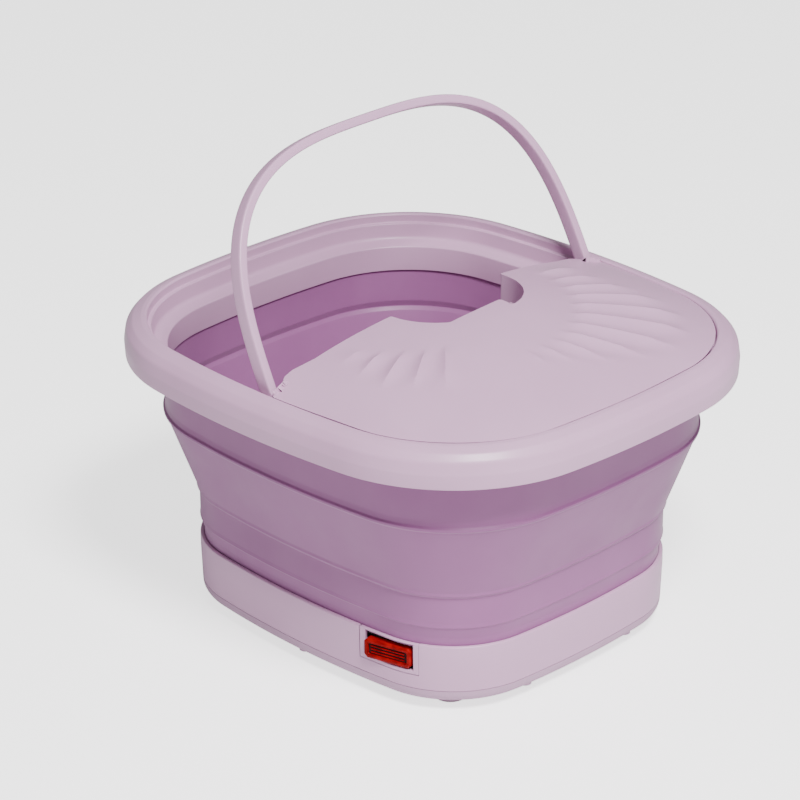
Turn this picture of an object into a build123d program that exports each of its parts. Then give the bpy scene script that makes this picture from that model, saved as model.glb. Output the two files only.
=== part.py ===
from build123d import *
import math
import os

# Foot spa basin with a collapsible soft wall, a half lid and a carrying bail.
# Millimetres. +X runs to the covered end, +Y across the width, +Z up.
# The origin is the centre of the footprint, on the ground under the four feet.
# Rings are drawn as (offset, height) sections: the offset is measured outwards
# from the crest of the rim, the reference outline below.

# Reference outline: four bulged sides joined by four corner arcs
HALF_LENGTH = 190.0
HALF_WIDTH = 170.0
SIDE_RADIUS = 788.0
END_RADIUS = 744.0
CORNER_RADIUS = 108.0

# Heights of the main levels
FOOT_HEIGHT = 8.0
SEAM_Z = 17.0
BASE_TOP_Z = 52.6
SHELL_FLANGE_Z = 48.5
SLEEVE_FLANGE_Z = 51.5
PAN_FLANGE_Z = 54.0
PAN_TOP_Z = 59.0
BAND_Z = 67.3
RIDGE_2_Z = 92.4
RIDGE_1_Z = 154.0
WALL_2_BOTTOM_Z = 184.6
SKIRT_Z = 198.2
RING_Z = 199.4
CLAMP_Z = 201.2
RIM_FLANGE_Z = 203.2
SHELF_Z = 204.5
WALL_1_BOTTOM_Z = 207.0
LEDGE_Z = 219.0
CREST_Z = 226.0

# Offsets of the main rings
SKIRT_OUT = 15.5
SLEEVE_TOP_OUT = -10.6
RIDGE_1_OUT = -11.6
RIDGE_2_OUT = -33.6
BAND_OUT = -35.8
SLEEVE_END_OUT = -38.2
BASE_OUT = -35.0
PAN_OUT = -50.5
WALL = 3.0
SLEEVE_WALL = 2.4
PAN_WALL = 2.5
PAN_FLOOR_Z = 38.0
PLATE_FLOOR_Z = 11.0

# Fasteners
SCREW_D = 3.0
SCREW_HEAD_D = 5.6
SCREW_HEAD_H = 2.0
RIM_SCREW_COUNT = 12
RIM_SCREW_OUT = 4.0
RIM_HEAD_H = 1.3
FLANGE_SCREW_COUNT = 10
FLANGE_SCREW_OUT = -44.0
FLANGE_SCREW_PHASE = 0.35
BASE_SCREW_POINTS = [(0, 127), (0, -127), (-145.5, 52), (-145.5, -52), (145.5, 52), (145.5, -52)]
BASE_BOSS_D = 9.0

# Feet
FOOT_X = 110.0
FOOT_Y = 91.0
FOOT_D = 25.0
FOOT_PEG_D = 6.0

# Handle
PIVOT_X = 7.0
PIVOT_Z = 214.0
HANDLE_REACH = 168.0
HANDLE_HALF = 163.4
HANDLE_THICK = 7.0
HANDLE_BROAD = 11.6
HANDLE_ROUND = 1.8
HANDLE_POWER = 3.1
HANDLE_STEPS = 14
HANDLE_LEAN = 26.7
PIN_D = 6.0
PIN_CLEAR = 0.05
PIN_HEAD_D = 10.0
PIN_HEAD_H = 1.8
POCKET_HALF = 12.0
POCKET_Z = 206.2

# Lid
LID_OUT = -2.5
LID_THICK = 3.0
LID_EDGE_Z = 224.8
LID_RISE = 25.2
LID_POWER = 3.2
LID_FALL = 2.2
LID_START_X = 17.0
LID_HALF_X = 14.0
LID_CORNER = ((60, 155.4), (13, 155.4), (9.5, 154.4), (5.2, 151.5), (4.2, 147), (6.5, 137), (9, 124))
NEAR_BAY = ((12.0, -51.0), (33.5, -45.5), (50.0, -31.0))
NEAR_CIRCLE = (11.34, -3.64, 47.36)
FAR_BAY = ((12.0, 59.0), (49.8, 44.0), (59.0, 22.4))
FAR_CIRCLE = (17.38, 17.43, 41.91)
BAY_CURL = ((59.0, 22.4), (53.0, 22.9), (47.0, 22.3))
COLLAR_WALL = 2.5
LEG_SKIRT_Z = 226.5
LID_RIB_Z = 212.5

# Rollers
ROLLER_D = 22.0
ROLLER_LENGTH = 56.0
ROLLER_X = (50.0, 86.0)
ROLLER_Y = 55.0
ROLLER_Z = 51.0
AXLE_D = 5.0
EAR_THICK = 3.0
EAR_BROAD = 14.0

# Bubble channel
STRIP_LENGTH = 190.0
STRIP_BROAD = 16.0
STRIP_H = 2.0
BUBBLE_D = 1.6
BUBBLE_COUNT = 11
CHANNEL_BROAD = 8.0
NOZZLE_X = -75.0
NOZZLE_D = 5.0
TUBE_D = 8.0

# Switch, set in the long wall beside the covered end
SWITCH_X = 86.5
SWITCH_Y = -131.2
SWITCH_TURN = 10.0
BEZEL_WIDTH = 50.0
BEZEL_BOTTOM_Z = 28.0
BEZEL_DEPTH = 6.0
WINDOW_WIDTH = 41.0
WINDOW_BOTTOM_Z = 31.0
WINDOW_TOP_Z = 48.2
SWITCH_BODY_DEPTH = 7.5
ROCKER_WIDTH = 38.0
ROCKER_HEIGHT = 15.4
ROCKER_DEPTH = 6.0
ROCKER_TILT = 5.0
ROCKER_AXIS_DEPTH = 8.0

# Under-floor equipment
PUMP_CENTRE = (-75.0, 45.0)
PUMP_SIZE = (60.0, 42.0, 20.0)
PAD_H = 2.0
HEATER_CENTRE = (40.0, 45.0)
HEATER_SIZE = (110.0, 60.0, 5.0)
SENSOR_CENTRE = (30.0, -14.0)
SENSOR_D = 14.0
BOARD_CENTRE = (-60.0, -55.0)
BOARD_SIZE = (70.0, 50.0, 1.6)
BOARD_Z = 17.0
INLET_Z = 33.0
INLET_SIZE = (32.0, 22.0)
GAP = 0.2


def corner_centre():
    """Centre of the corner arc that touches a long side and an end."""
    side_y = HALF_WIDTH - SIDE_RADIUS
    end_x = HALF_LENGTH - END_RADIUS
    from_side = SIDE_RADIUS - CORNER_RADIUS
    from_end = END_RADIUS - CORNER_RADIUS
    span = math.hypot(end_x, side_y)
    along = (from_side**2 - from_end**2 + span**2) / (2 * span)
    across = math.sqrt(from_side**2 - along**2)
    ux = end_x / span
    uy = -side_y / span
    return (along * ux + across * uy, side_y + along * uy - across * ux)


def outline_arcs():
    """Centre, radius, start angle and size of the eight arcs, counter-clockwise."""
    cx, cy = corner_centre()
    side_y = HALF_WIDTH - SIDE_RADIUS
    end_x = HALF_LENGTH - END_RADIUS
    low = math.degrees(math.atan2(cy, cx - end_x))
    high = math.degrees(math.atan2(cy - side_y, cx))
    return [
        ((end_x, 0), END_RADIUS, -low, 2 * low),
        ((cx, cy), CORNER_RADIUS, low, high - low),
        ((0, side_y), SIDE_RADIUS, high, 180 - 2 * high),
        ((-cx, cy), CORNER_RADIUS, 180 - high, high - low),
        ((-end_x, 0), END_RADIUS, 180 - low, 2 * low),
        ((-cx, -cy), CORNER_RADIUS, 180 + low, high - low),
        ((0, -side_y), SIDE_RADIUS, 180 + high, 180 - 2 * high),
        ((cx, -cy), CORNER_RADIUS, 360 - high, high - low),
    ]


def outline(offset):
    """Closed outline at an offset from the crest."""
    edges = []
    for centre, radius, start, size in outline_arcs():
        edges.append(CenterArc(centre, radius + offset, start, size))
    return Wire([edge.edge() for edge in edges])


def prism(offset, low, high):
    """Everything inside the outline between two heights."""
    return extrude(Pos(0, 0, low) * Face(outline(offset)), high - low)


def section(points, round_at=(), radius=0.0):
    """Closed ring section, with the named points rounded."""
    face = make_face(Polyline(*points, close=True))
    corners = []
    for vertex in face.vertices():
        for number in round_at:
            x, y = points[number]
            if abs(vertex.X - x) < GAP / 10 and abs(vertex.Y - y) < GAP / 10:
                corners.append(vertex)
    if corners:
        face = fillet(corners, radius)
    return face


def ring(face):
    """Carries a section, drawn as (offset, height), round the outline."""
    pieces = []
    for (cx, cy), radius, start, size in outline_arcs():
        turn = math.radians(start)
        radial = (math.cos(turn), math.sin(turn), 0)
        plane = Plane(origin=(cx, cy, 0), x_dir=radial, z_dir=(radial[1], -radial[0], 0))
        placed = plane * (Pos(radius, 0) * face)
        pieces.append(revolve(placed, Axis((cx, cy, 0), (0, 0, 1)), size))
    whole = pieces[0]
    for piece in pieces[1:]:
        whole = whole + piece
    return whole


def around(offset, count, phase=0.5):
    """Evenly spaced points on the outline."""
    wire = outline(offset)
    points = []
    for number in range(count):
        at = wire.position_at((number + phase) / count)
        points.append((at.X, at.Y))
    return points


def post(x, y, low, high, diameter):
    """Upright cylinder between two heights."""
    return Pos(x, y, (low + high) / 2) * Cylinder(diameter / 2, high - low)


def block(x, y, low, size):
    """Upright box standing on a height."""
    return Pos(x, y, low + size[2] / 2) * Box(size[0], size[1], size[2])


def screw(x, y, head_z, tip_z, head_h=SCREW_HEAD_H):
    """Pan-head screw driven upwards, with a cross recess in its head."""
    head = post(x, y, head_z - head_h, head_z, SCREW_HEAD_D)
    head = fillet(head.edges().group_by(Axis.Z)[0], head_h / 4)
    body = head + post(x, y, head_z, tip_z, SCREW_D)
    slot = SCREW_HEAD_D * 0.55
    for size in ((slot, SCREW_D / 4), (SCREW_D / 4, slot)):
        body = body - Pos(x, y, head_z - head_h) * Box(size[0], size[1], head_h)
    return body


def rim_collar():
    """Hollow rolled rim with the lip, the lid's ledge and the inner wall."""
    lip = -1.5
    ledge = -4.6
    wall_1 = -5.4
    wall_2 = -15.8
    inner = -13.3
    skirt_in = SKIRT_OUT - WALL
    points = [
        (lip + 1.2, CREST_Z),
        (3.0, CREST_Z - 0.4),
        (9.5, CREST_Z - 4.0),
        (SKIRT_OUT - 1.2, CREST_Z - 10.5),
        (SKIRT_OUT, CREST_Z - 16.0),
        (SKIRT_OUT - 0.8, SKIRT_Z),
        (skirt_in - 0.8, SKIRT_Z),
        (skirt_in, CREST_Z - 16.0),
        (7.0, CREST_Z - 7.5),
        (3.0, CREST_Z - 10.0),
        (-3.0, WALL_1_BOTTOM_Z),
        (inner + 0.6, RIM_FLANGE_Z + 0.1),
        (inner, RIM_FLANGE_Z - 0.3),
        (inner, WALL_2_BOTTOM_Z),
        (wall_2 + 1.0, WALL_2_BOTTOM_Z),
        (wall_2, SHELF_Z),
        (wall_1, WALL_1_BOTTOM_Z),
        (ledge, LEDGE_Z),
        (lip, LEDGE_Z),
        (lip, CREST_Z - 1.2),
    ]
    face = section(points, (2, 3, 8), 4.0)
    body = ring(face)
    body = body + rim_bosses() + pivot_blocks()
    return body - rim_boss_holes() - pivot_pockets()


def rim_bosses():
    """Posts inside the roll that take the clamp screws."""
    solids = Part()
    for x, y in around(RIM_SCREW_OUT, RIM_SCREW_COUNT):
        solids = solids + post(x, y, RIM_FLANGE_Z, CREST_Z - 8, 8)
    return solids


def rim_boss_holes():
    """Pilot holes in the posts."""
    solids = Part()
    for x, y in around(RIM_SCREW_OUT, RIM_SCREW_COUNT):
        solids = solids + post(x, y, RIM_FLANGE_Z - 1, RIM_FLANGE_Z + 9, SCREW_D)
    return solids


def pivot_blocks():
    """Solid pads in the collar that carry the bail's pins."""
    solids = Part()
    for side in (-1, 1):
        size = (2 * POCKET_HALF + 4, 11, WALL_1_BOTTOM_Z - RIM_FLANGE_Z - 0.8)
        pad = block(PIVOT_X, side * 159.9, RIM_FLANGE_Z + 0.8, size)
        boss = Pos(PIVOT_X, side * 170, PIVOT_Z) * Rot(90, 0, 0) * Cylinder(5.5, 11)
        solids = solids + pad + (boss & block(PIVOT_X, side * 170, 205, (30, 11, 15)))
    return solids


def pivot_pockets():
    """Room for the ends of the bail, and the holes for its pins."""
    solids = Part()
    for side in (-1, 1):
        size = (2 * POCKET_HALF, 9.3, 9)
        solids = solids + block(PIVOT_X, side * 160.15, POCKET_Z, size)
        hole = Pos(PIVOT_X, side * 168, PIVOT_Z) * Rot(90, 0, 0) * Cylinder(PIN_D / 2, 12)
        solids = solids + hole
    return solids


def handle_pivots():
    """Two headed pins that carry the bail."""
    pins = []
    for side in (-1, 1):
        turn = Rot(-90 * side, 0, 0)
        shank = Pos(PIVOT_X, side * 165, PIVOT_Z) * turn * Cylinder(PIN_D / 2, 17.4)
        head_y = side * (165 - 8.7 - PIN_HEAD_H / 2)
        head = Pos(PIVOT_X, head_y, PIVOT_Z) * turn * Cylinder(PIN_HEAD_D / 2, PIN_HEAD_H)
        pins.append(shank + head)
    return Compound(children=pins)


def bail_curve(half, reach):
    """Points of the arched bail, from one foot to the other, seen along +X."""
    points = []
    for number in range(1, HANDLE_STEPS):
        turn = math.pi * number / HANDLE_STEPS
        y = half * math.copysign(abs(math.cos(turn)) ** (2 / HANDLE_POWER), math.cos(turn))
        z = reach * math.sin(turn) ** (2 / HANDLE_POWER)
        points.append((y, z))
    return points


def handle_bail():
    """One-piece arched carrying bail, leaning to the open end."""
    middle = HANDLE_HALF - HANDLE_THICK / 2
    reach = HANDLE_REACH - HANDLE_THICK / 2
    points = [(0, middle, 0)]
    for y, z in bail_curve(middle, reach):
        points.append((0, y, z))
    points.append((0, -middle, 0))
    path = Spline(*points, tangents=[(0, 0, 1), (0, 0, -1)])
    start = Plane(origin=points[0], x_dir=(1, 0, 0), z_dir=(0, 0, 1))
    arch = sweep(start * RectangleRounded(HANDLE_BROAD, HANDLE_THICK, HANDLE_ROUND), path=path)
    for side in (-1, 1):
        eye = Pos(0, side * middle, 0) * Rot(90, 0, 0) * Cylinder(HANDLE_BROAD / 2 + 0.8, HANDLE_THICK)
        bore = Pos(0, side * middle, 0) * Rot(90, 0, 0) * Cylinder(PIN_D / 2 + PIN_CLEAR, 20)
        arch = arch + eye - bore
    return Pos(PIVOT_X, 0, PIVOT_Z) * Rot(0, -HANDLE_LEAN, 0) * arch


def dome_height(x, y, drop):
    """Height of the lid's crowned surface above one point."""
    along = max(0.0, x - LID_START_X) / (HALF_LENGTH + LID_OUT - LID_START_X)
    across = abs(y) / (HALF_WIDTH + LID_OUT)
    reach = (along**LID_POWER + across**LID_POWER) ** (1 / LID_POWER)
    return LID_EDGE_Z + LID_RISE * (1 - reach**LID_FALL) - drop


def under_dome(drop):
    """Everything below the crowned surface, lowered by a drop."""
    rows = []
    for column in range(15):
        x = -24 + 16 * column
        row = []
        for line in range(19):
            y = -180 + 20 * line
            row.append((x, y, dome_height(x, y, drop)))
        rows.append(row)
    face = Face.make_surface_from_array_of_points(rows)
    return extrude(face, 80, dir=(0, 0, -1))


def lid_plan():
    """Plan of the lid: the covered half with a raised free edge and two bays for the legs."""
    half = Face(outline(LID_OUT)) & Pos(LID_HALF_X + 150, 0) * Rectangle(300, 400)
    near = [(x, -y) for x, y in LID_CORNER]
    edge = Polyline(*near, NEAR_BAY[0]) + ThreePointArc(*NEAR_BAY)
    edge = edge + Line(NEAR_BAY[2], BAY_CURL[2]) + ThreePointArc(*BAY_CURL[::-1])
    edge = edge + ThreePointArc(*FAR_BAY[::-1]) + Polyline(FAR_BAY[0], *LID_CORNER[::-1])
    edge = edge + Line(LID_CORNER[0], near[0])
    return (half - Pos(LID_HALF_X + 15, 0) * Rectangle(30, 300)) + make_face(edge)


def bay_collar(circle, centre, size):
    """Turned-down collar along one bay, kept to the stretch inside a box."""
    x, y, radius = circle
    height = CREST_Z + 40 - LEG_SKIRT_Z
    ring = post(x, y, LEG_SKIRT_Z, CREST_Z + 40, 2 * (radius + COLLAR_WALL))
    ring = ring - post(x, y, LEG_SKIRT_Z - 1, CREST_Z + 41, 2 * radius)
    return ring & block(centre[0], centre[1], LEG_SKIRT_Z, (size[0], size[1], height))


def lid():
    """Half lid over the covered end, with two bays for the legs."""
    plan = extrude(Pos(0, 0, LEDGE_Z) * lid_plan(), 50)
    hollow = prism(LID_OUT - 5.5, LEDGE_Z - 10, CREST_Z + 60) & under_dome(LID_THICK)
    body = (plan & under_dome(0)) - hollow
    collars = bay_collar(NEAR_CIRCLE, (31, -43), (38, 24)) + bay_collar(FAR_CIRCLE, (37, 42), (50, 38))
    room = extrude(Pos(0, 0, LEG_SKIRT_Z) * lid_plan(), 50) & under_dome(0.5)
    body = body + (collars & room)
    rib = prism(-6.2, LID_RIB_Z, LEDGE_Z + 1) - prism(-8.6, LID_RIB_Z - 1, LEDGE_Z + 2)
    rib = rib & block(LID_START_X + 20 + 150, 0, LID_RIB_Z - 1, (300, 400, 20))
    return body + rib


def sleeve_upper():
    """Upper band of the soft wall, with the flange clamped under the rim."""
    inner_top = SLEEVE_TOP_OUT - SLEEVE_WALL
    inner_low = RIDGE_1_OUT - SLEEVE_WALL
    points = [
        (inner_top, RIM_FLANGE_Z - 0.6),
        (inner_top + 0.6, RIM_FLANGE_Z),
        (8.0, RIM_FLANGE_Z),
        (8.0, CLAMP_Z),
        (SLEEVE_TOP_OUT, CLAMP_Z),
        (RIDGE_1_OUT - 0.6, RIDGE_1_Z + 7),
        (RIDGE_1_OUT + 0.8, RIDGE_1_Z + 1.2),
        (RIDGE_1_OUT, RIDGE_1_Z),
        (inner_low, RIDGE_1_Z),
        (inner_low - 0.6, RIDGE_1_Z + 7),
        (inner_top, WALL_2_BOTTOM_Z - 2),
    ]
    body = ring(section(points))
    for x, y in around(RIM_SCREW_OUT, RIM_SCREW_COUNT):
        body = body - post(x, y, CLAMP_Z - 1, RIM_FLANGE_Z + 1, SCREW_D)
    return body


def sleeve_fold():
    """Tapered band of the soft wall that turns inside out to collapse."""
    points = [
        (RIDGE_1_OUT, RIDGE_1_Z),
        (RIDGE_1_OUT - SLEEVE_WALL, RIDGE_1_Z),
        (RIDGE_2_OUT - SLEEVE_WALL, RIDGE_2_Z),
        (RIDGE_2_OUT, RIDGE_2_Z),
    ]
    return ring(section(points))


def sleeve_lower():
    """Lower bands of the soft wall, with the flange clamped in the base."""
    outer_low = SLEEVE_END_OUT
    points = [
        (RIDGE_2_OUT, RIDGE_2_Z),
        (RIDGE_2_OUT - 0.3, RIDGE_2_Z - 1.6),
        (BAND_OUT + 0.2, RIDGE_2_Z - 3),
        (BAND_OUT, BAND_Z),
        (BAND_OUT - 1.2, BAND_Z - 1.2),
        (outer_low + 0.2, BASE_TOP_Z + 3),
        (outer_low, BASE_TOP_Z),
        (outer_low, SLEEVE_FLANGE_Z),
        (PAN_OUT + 0.3, SLEEVE_FLANGE_Z),
        (PAN_OUT + 0.3, PAN_FLANGE_Z),
        (outer_low - SLEEVE_WALL, PAN_FLANGE_Z),
        (BAND_OUT - SLEEVE_WALL - 1, BAND_Z - 1.2),
        (BAND_OUT - SLEEVE_WALL, BAND_Z),
        (BAND_OUT - SLEEVE_WALL, RIDGE_2_Z - 4),
        (RIDGE_2_OUT - SLEEVE_WALL, RIDGE_2_Z),
    ]
    body = ring(section(points))
    for x, y in around(FLANGE_SCREW_OUT, FLANGE_SCREW_COUNT, FLANGE_SCREW_PHASE):
        body = body - post(x, y, SLEEVE_FLANGE_Z - 1, PAN_FLANGE_Z + 1, SCREW_D)
    return body


def rim_clamp_ring():
    """Flat ring that holds the upper flange against the collar."""
    points = [(SLEEVE_TOP_OUT + 0.4, RING_Z), (8.0, RING_Z), (8.0, CLAMP_Z)]
    points = points + [(SLEEVE_TOP_OUT + 0.4, CLAMP_Z)]
    body = ring(section(points))
    for x, y in around(RIM_SCREW_OUT, RIM_SCREW_COUNT):
        body = body - post(x, y, RING_Z - 1, CLAMP_Z + 1, SCREW_D)
    return body


def rim_screws():
    """Screws of the upper clamp ring."""
    screws = []
    for x, y in around(RIM_SCREW_OUT, RIM_SCREW_COUNT):
        screws.append(screw(x, y, RING_Z, RIM_FLANGE_Z + 8, RIM_HEAD_H))
    return Compound(children=screws)


def switch_place(x, depth, z):
    """Frame of the switch: x along the wall, depth inwards, z up."""
    return Pos(SWITCH_X, SWITCH_Y, 0) * Rot(0, 0, SWITCH_TURN) * Pos(x, depth, z)


def switch_block(width, start, depth, low, high):
    """Box in the switch's own frame."""
    return switch_place(0, start + depth / 2, (low + high) / 2) * Box(width, depth, high - low)


def base_shell():
    """Upright wall of the base with the flange that carries pan and soft wall."""
    inner = BASE_OUT - WALL
    points = [
        (BASE_OUT - 0.9, SEAM_Z),
        (BASE_OUT, BASE_TOP_Z - 8),
        (BASE_OUT, BASE_TOP_Z),
        (inner, BASE_TOP_Z),
        (inner, SLEEVE_FLANGE_Z),
        (PAN_OUT + 0.3, SLEEVE_FLANGE_Z),
        (PAN_OUT + 0.3, SHELL_FLANGE_Z),
        (inner, SHELL_FLANGE_Z),
        (inner - 0.9, SEAM_Z),
    ]
    body = ring(section(points, (2,), 1.2))
    for x, y in BASE_SCREW_POINTS:
        body = body + post(x, y, SEAM_Z, SHELL_FLANGE_Z, BASE_BOSS_D)
        body = body - post(x, y, SEAM_Z - 1, SEAM_Z + 16, SCREW_D)
    for x, y in around(FLANGE_SCREW_OUT, FLANGE_SCREW_COUNT, FLANGE_SCREW_PHASE):
        body = body - post(x, y, SHELL_FLANGE_Z - 1, SLEEVE_FLANGE_Z + 1, SCREW_D)
    opening = switch_block(BEZEL_WIDTH + 2 * GAP, -6, 14, BEZEL_BOTTOM_Z - GAP, SHELL_FLANGE_Z)
    upper = switch_block(BEZEL_WIDTH + 2 * GAP, -6, 14, BEZEL_BOTTOM_Z - GAP, BASE_TOP_Z + 1)
    body = body - opening - (upper - prism(inner, 0, BASE_TOP_Z + 5))
    inlet_hole = Pos(-HALF_LENGTH - BASE_OUT, 0, INLET_Z)
    return body - inlet_hole * Box(12, INLET_SIZE[0] - 5, INLET_SIZE[1] - 5)


def base_plate():
    """Rounded bottom tray with air slots and posts for the equipment."""
    outer = BASE_OUT - 0.9
    points = [
        (outer, SEAM_Z),
        (outer - 0.4, FOOT_HEIGHT),
        (outer - WALL - 5, FOOT_HEIGHT),
        (outer - WALL - 5, PLATE_FLOOR_Z),
        (outer - WALL - 0.4, PLATE_FLOOR_Z),
        (outer - WALL, SEAM_Z),
    ]
    body = ring(section(points, (1,), 6.5))
    body = body + prism(outer - WALL - 4, FOOT_HEIGHT, PLATE_FLOOR_Z)
    for x, y in BASE_SCREW_POINTS:
        body = body + post(x, y, FOOT_HEIGHT, SEAM_Z, BASE_BOSS_D)
        body = body - post(x, y, FOOT_HEIGHT - 1, FOOT_HEIGHT + 4, SCREW_HEAD_D + 0.6)
        body = body - post(x, y, FOOT_HEIGHT, SEAM_Z + 1, SCREW_D)
    for x, y in foot_points():
        body = body - post(x, y, FOOT_HEIGHT - 1, PLATE_FLOOR_Z + 1, FOOT_PEG_D)
    for x, y in board_corners():
        body = body + post(x, y, PLATE_FLOOR_Z, BOARD_Z, 7)
        body = body - post(x, y, PLATE_FLOOR_Z + 1, BOARD_Z + 1, 2.5)
    for number in range(7):
        slot = (3, 30, 10)
        body = body - block(PUMP_CENTRE[0] + 10 * (number - 3), 0, FOOT_HEIGHT - 3, slot)
    return body


def foot_points():
    """Centres of the four feet."""
    points = []
    for x in (-FOOT_X, FOOT_X):
        for y in (-FOOT_Y, FOOT_Y):
            points.append((x, y))
    return points


def feet():
    """Four round feet with pegs pressed into the bottom tray."""
    solids = []
    for x, y in foot_points():
        pad = post(x, y, 0, FOOT_HEIGHT, FOOT_D)
        pad = fillet(pad.edges().group_by(Axis.Z)[0], 2.0)
        solids.append(pad + post(x, y, FOOT_HEIGHT, PLATE_FLOOR_Z + 1.5, FOOT_PEG_D))
    return Compound(children=solids)


def base_screws():
    """Screws that hold the bottom tray to the shell."""
    screws = []
    for x, y in BASE_SCREW_POINTS:
        screws.append(screw(x, y, FOOT_HEIGHT + 4, SEAM_Z + 15))
    return Compound(children=screws)


def flange_screws():
    """Screws that clamp shell, soft wall and pan together from below."""
    screws = []
    for x, y in around(FLANGE_SCREW_OUT, FLANGE_SCREW_COUNT, FLANGE_SCREW_PHASE):
        screws.append(screw(x, y, SHELL_FLANGE_Z, PAN_TOP_Z - 2))
    return Compound(children=screws)


def roller_points():
    """Centres of the massage rollers, one pair for each foot."""
    points = []
    for side in (-1, 1):
        for x in ROLLER_X:
            points.append((x, side * ROLLER_Y))
    return points


def basin_pan():
    """Hard floor of the basin, with the roller brackets and the air channel."""
    low = PAN_FLOOR_Z - PAN_WALL
    inner = PAN_OUT - PAN_WALL
    flange_out = SLEEVE_END_OUT - SLEEVE_WALL - 0.2
    points = [
        (flange_out, PAN_FLANGE_Z),
        (flange_out, PAN_TOP_Z),
        (inner, PAN_TOP_Z),
        (inner, PAN_FLOOR_Z),
        (inner - 12, PAN_FLOOR_Z),
        (inner - 12, low),
        (PAN_OUT, low),
        (PAN_OUT, PAN_FLANGE_Z),
    ]
    body = ring(section(points, (3,), 5.0))
    body = body + prism(inner - 10, low, PAN_FLOOR_Z)
    for x, y in roller_points():
        for side in (-1, 1):
            at = y + side * (ROLLER_LENGTH / 2 + 1 + EAR_THICK / 2)
            height = ROLLER_Z - PAN_FLOOR_Z
            ear = block(x, at, PAN_FLOOR_Z, (EAR_BROAD, EAR_THICK, height))
            head = Pos(x, at, ROLLER_Z) * Rot(90, 0, 0) * Cylinder(EAR_BROAD / 2, EAR_THICK)
            bore = Pos(x, at, ROLLER_Z) * Rot(90, 0, 0) * Cylinder(AXLE_D / 2, 2 * EAR_THICK)
            body = body + ear + head - bore
    channel = block(0, 0, PAN_FLOOR_Z - 1.2, (STRIP_LENGTH - 10, CHANNEL_BROAD, 3))
    body = body + post(NOZZLE_X, 0, low - 6, low, NOZZLE_D) - channel
    body = body - post(NOZZLE_X, 0, low - 7, PAN_FLOOR_Z, NOZZLE_D - 2)
    for x, y in around(FLANGE_SCREW_OUT, FLANGE_SCREW_COUNT, FLANGE_SCREW_PHASE):
        body = body - post(x, y, PAN_FLANGE_Z - 1, PAN_TOP_Z - 1.5, SCREW_D)
    return body


def roller(x, y):
    """Ribbed massage roller on a bore with a running fit."""
    body = Cylinder(ROLLER_D / 2 - 2, ROLLER_LENGTH)
    for number in range(5):
        band = Cylinder(ROLLER_D / 2, 6)
        body = body + Pos(0, 0, 12 * (number - 2)) * fillet(band.edges(), 1.6)
    body = body - Cylinder(AXLE_D / 2 + PIN_CLEAR, ROLLER_LENGTH + 4)
    return Pos(x, y, ROLLER_Z) * Rot(90, 0, 0) * body


def roller_axles():
    """Fixed axles of the rollers."""
    axles = []
    for x, y in roller_points():
        length = ROLLER_LENGTH + 2 + 2 * EAR_THICK
        axles.append(Pos(x, y, ROLLER_Z) * Rot(90, 0, 0) * Cylinder(AXLE_D / 2, length))
    return Compound(children=axles)


def bubble_strip():
    """Perforated strip over the air channel."""
    body = block(0, 0, PAN_FLOOR_Z, (STRIP_LENGTH, STRIP_BROAD, STRIP_H))
    body = fillet(body.edges().filter_by(Axis.Z), STRIP_BROAD / 2 - 1)
    body = fillet(body.edges().group_by(Axis.Z)[-1], 0.8)
    pitch = (STRIP_LENGTH - 20) / (BUBBLE_COUNT - 1)
    for number in range(BUBBLE_COUNT):
        x = pitch * (number - (BUBBLE_COUNT - 1) / 2)
        body = body - post(x, 0, PAN_FLOOR_Z - 1, PAN_FLOOR_Z + STRIP_H + 1, BUBBLE_D)
    return body


def air_pump():
    """Diaphragm pump with its outlet nipple."""
    x, y = PUMP_CENTRE
    low = PLATE_FLOOR_Z + PAD_H
    body = fillet(block(x, y, low, PUMP_SIZE).edges().filter_by(Axis.Z), 5)
    body = fillet(body.edges().group_by(Axis.Z)[-1], 2)
    edge = y - PUMP_SIZE[1] / 2
    nipple = Pos(x, edge - 4, low + 9) * Rot(90, 0, 0) * Cylinder(NOZZLE_D / 2, 8)
    bore = Pos(x, edge - 4, low + 9) * Rot(90, 0, 0) * Cylinder(NOZZLE_D / 2 - 1, 12)
    return body + nipple - bore


def pump_pads():
    """Soft pads under the pump."""
    pads = []
    x, y = PUMP_CENTRE
    for dx in (-1, 1):
        for dy in (-1, 1):
            at = (x + dx * (PUMP_SIZE[0] / 2 - 9), y + dy * (PUMP_SIZE[1] / 2 - 9))
            pads.append(post(at[0], at[1], PLATE_FLOOR_Z, PLATE_FLOOR_Z + PAD_H, 9))
    return Compound(children=pads)


def air_tube():
    """Soft tube from the pump's nipple up to the pan's nozzle."""
    y = PUMP_CENTRE[1] - PUMP_SIZE[1] / 2
    z = PLATE_FLOOR_Z + PAD_H + 9
    bend = 6.0
    near = bend * (1 - math.sqrt(0.5))
    top = PAN_FLOOR_Z - PAN_WALL
    path = Wire([
        Line((NOZZLE_X, y - 0.5, z), (NOZZLE_X, bend, z)).edge(),
        ThreePointArc((NOZZLE_X, bend, z), (NOZZLE_X, near, z + near), (NOZZLE_X, 0, z + bend)).edge(),
        Line((NOZZLE_X, 0, z + bend), (NOZZLE_X, 0, top - 0.5)).edge(),
    ])
    start = Plane(origin=(NOZZLE_X, y - 0.5, z), z_dir=(0, -1, 0))
    outer = sweep(start * Circle(TUBE_D / 2), path=path)
    inner = sweep(start * Circle(NOZZLE_D / 2), path=path)
    return outer - inner


def heater_plate():
    """Finned heating element pressed against the underside of the pan."""
    top = PAN_FLOOR_Z - PAN_WALL
    x, y = HEATER_CENTRE
    body = block(x, y, top - HEATER_SIZE[2], HEATER_SIZE)
    body = fillet(body.edges().filter_by(Axis.Z), 8)
    for number in range(9):
        groove = (HEATER_SIZE[0] - 20, 2, 2)
        body = body - block(x, y + 6 * (number - 4), top - HEATER_SIZE[2] - 0.2, groove)
    return body


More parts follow.
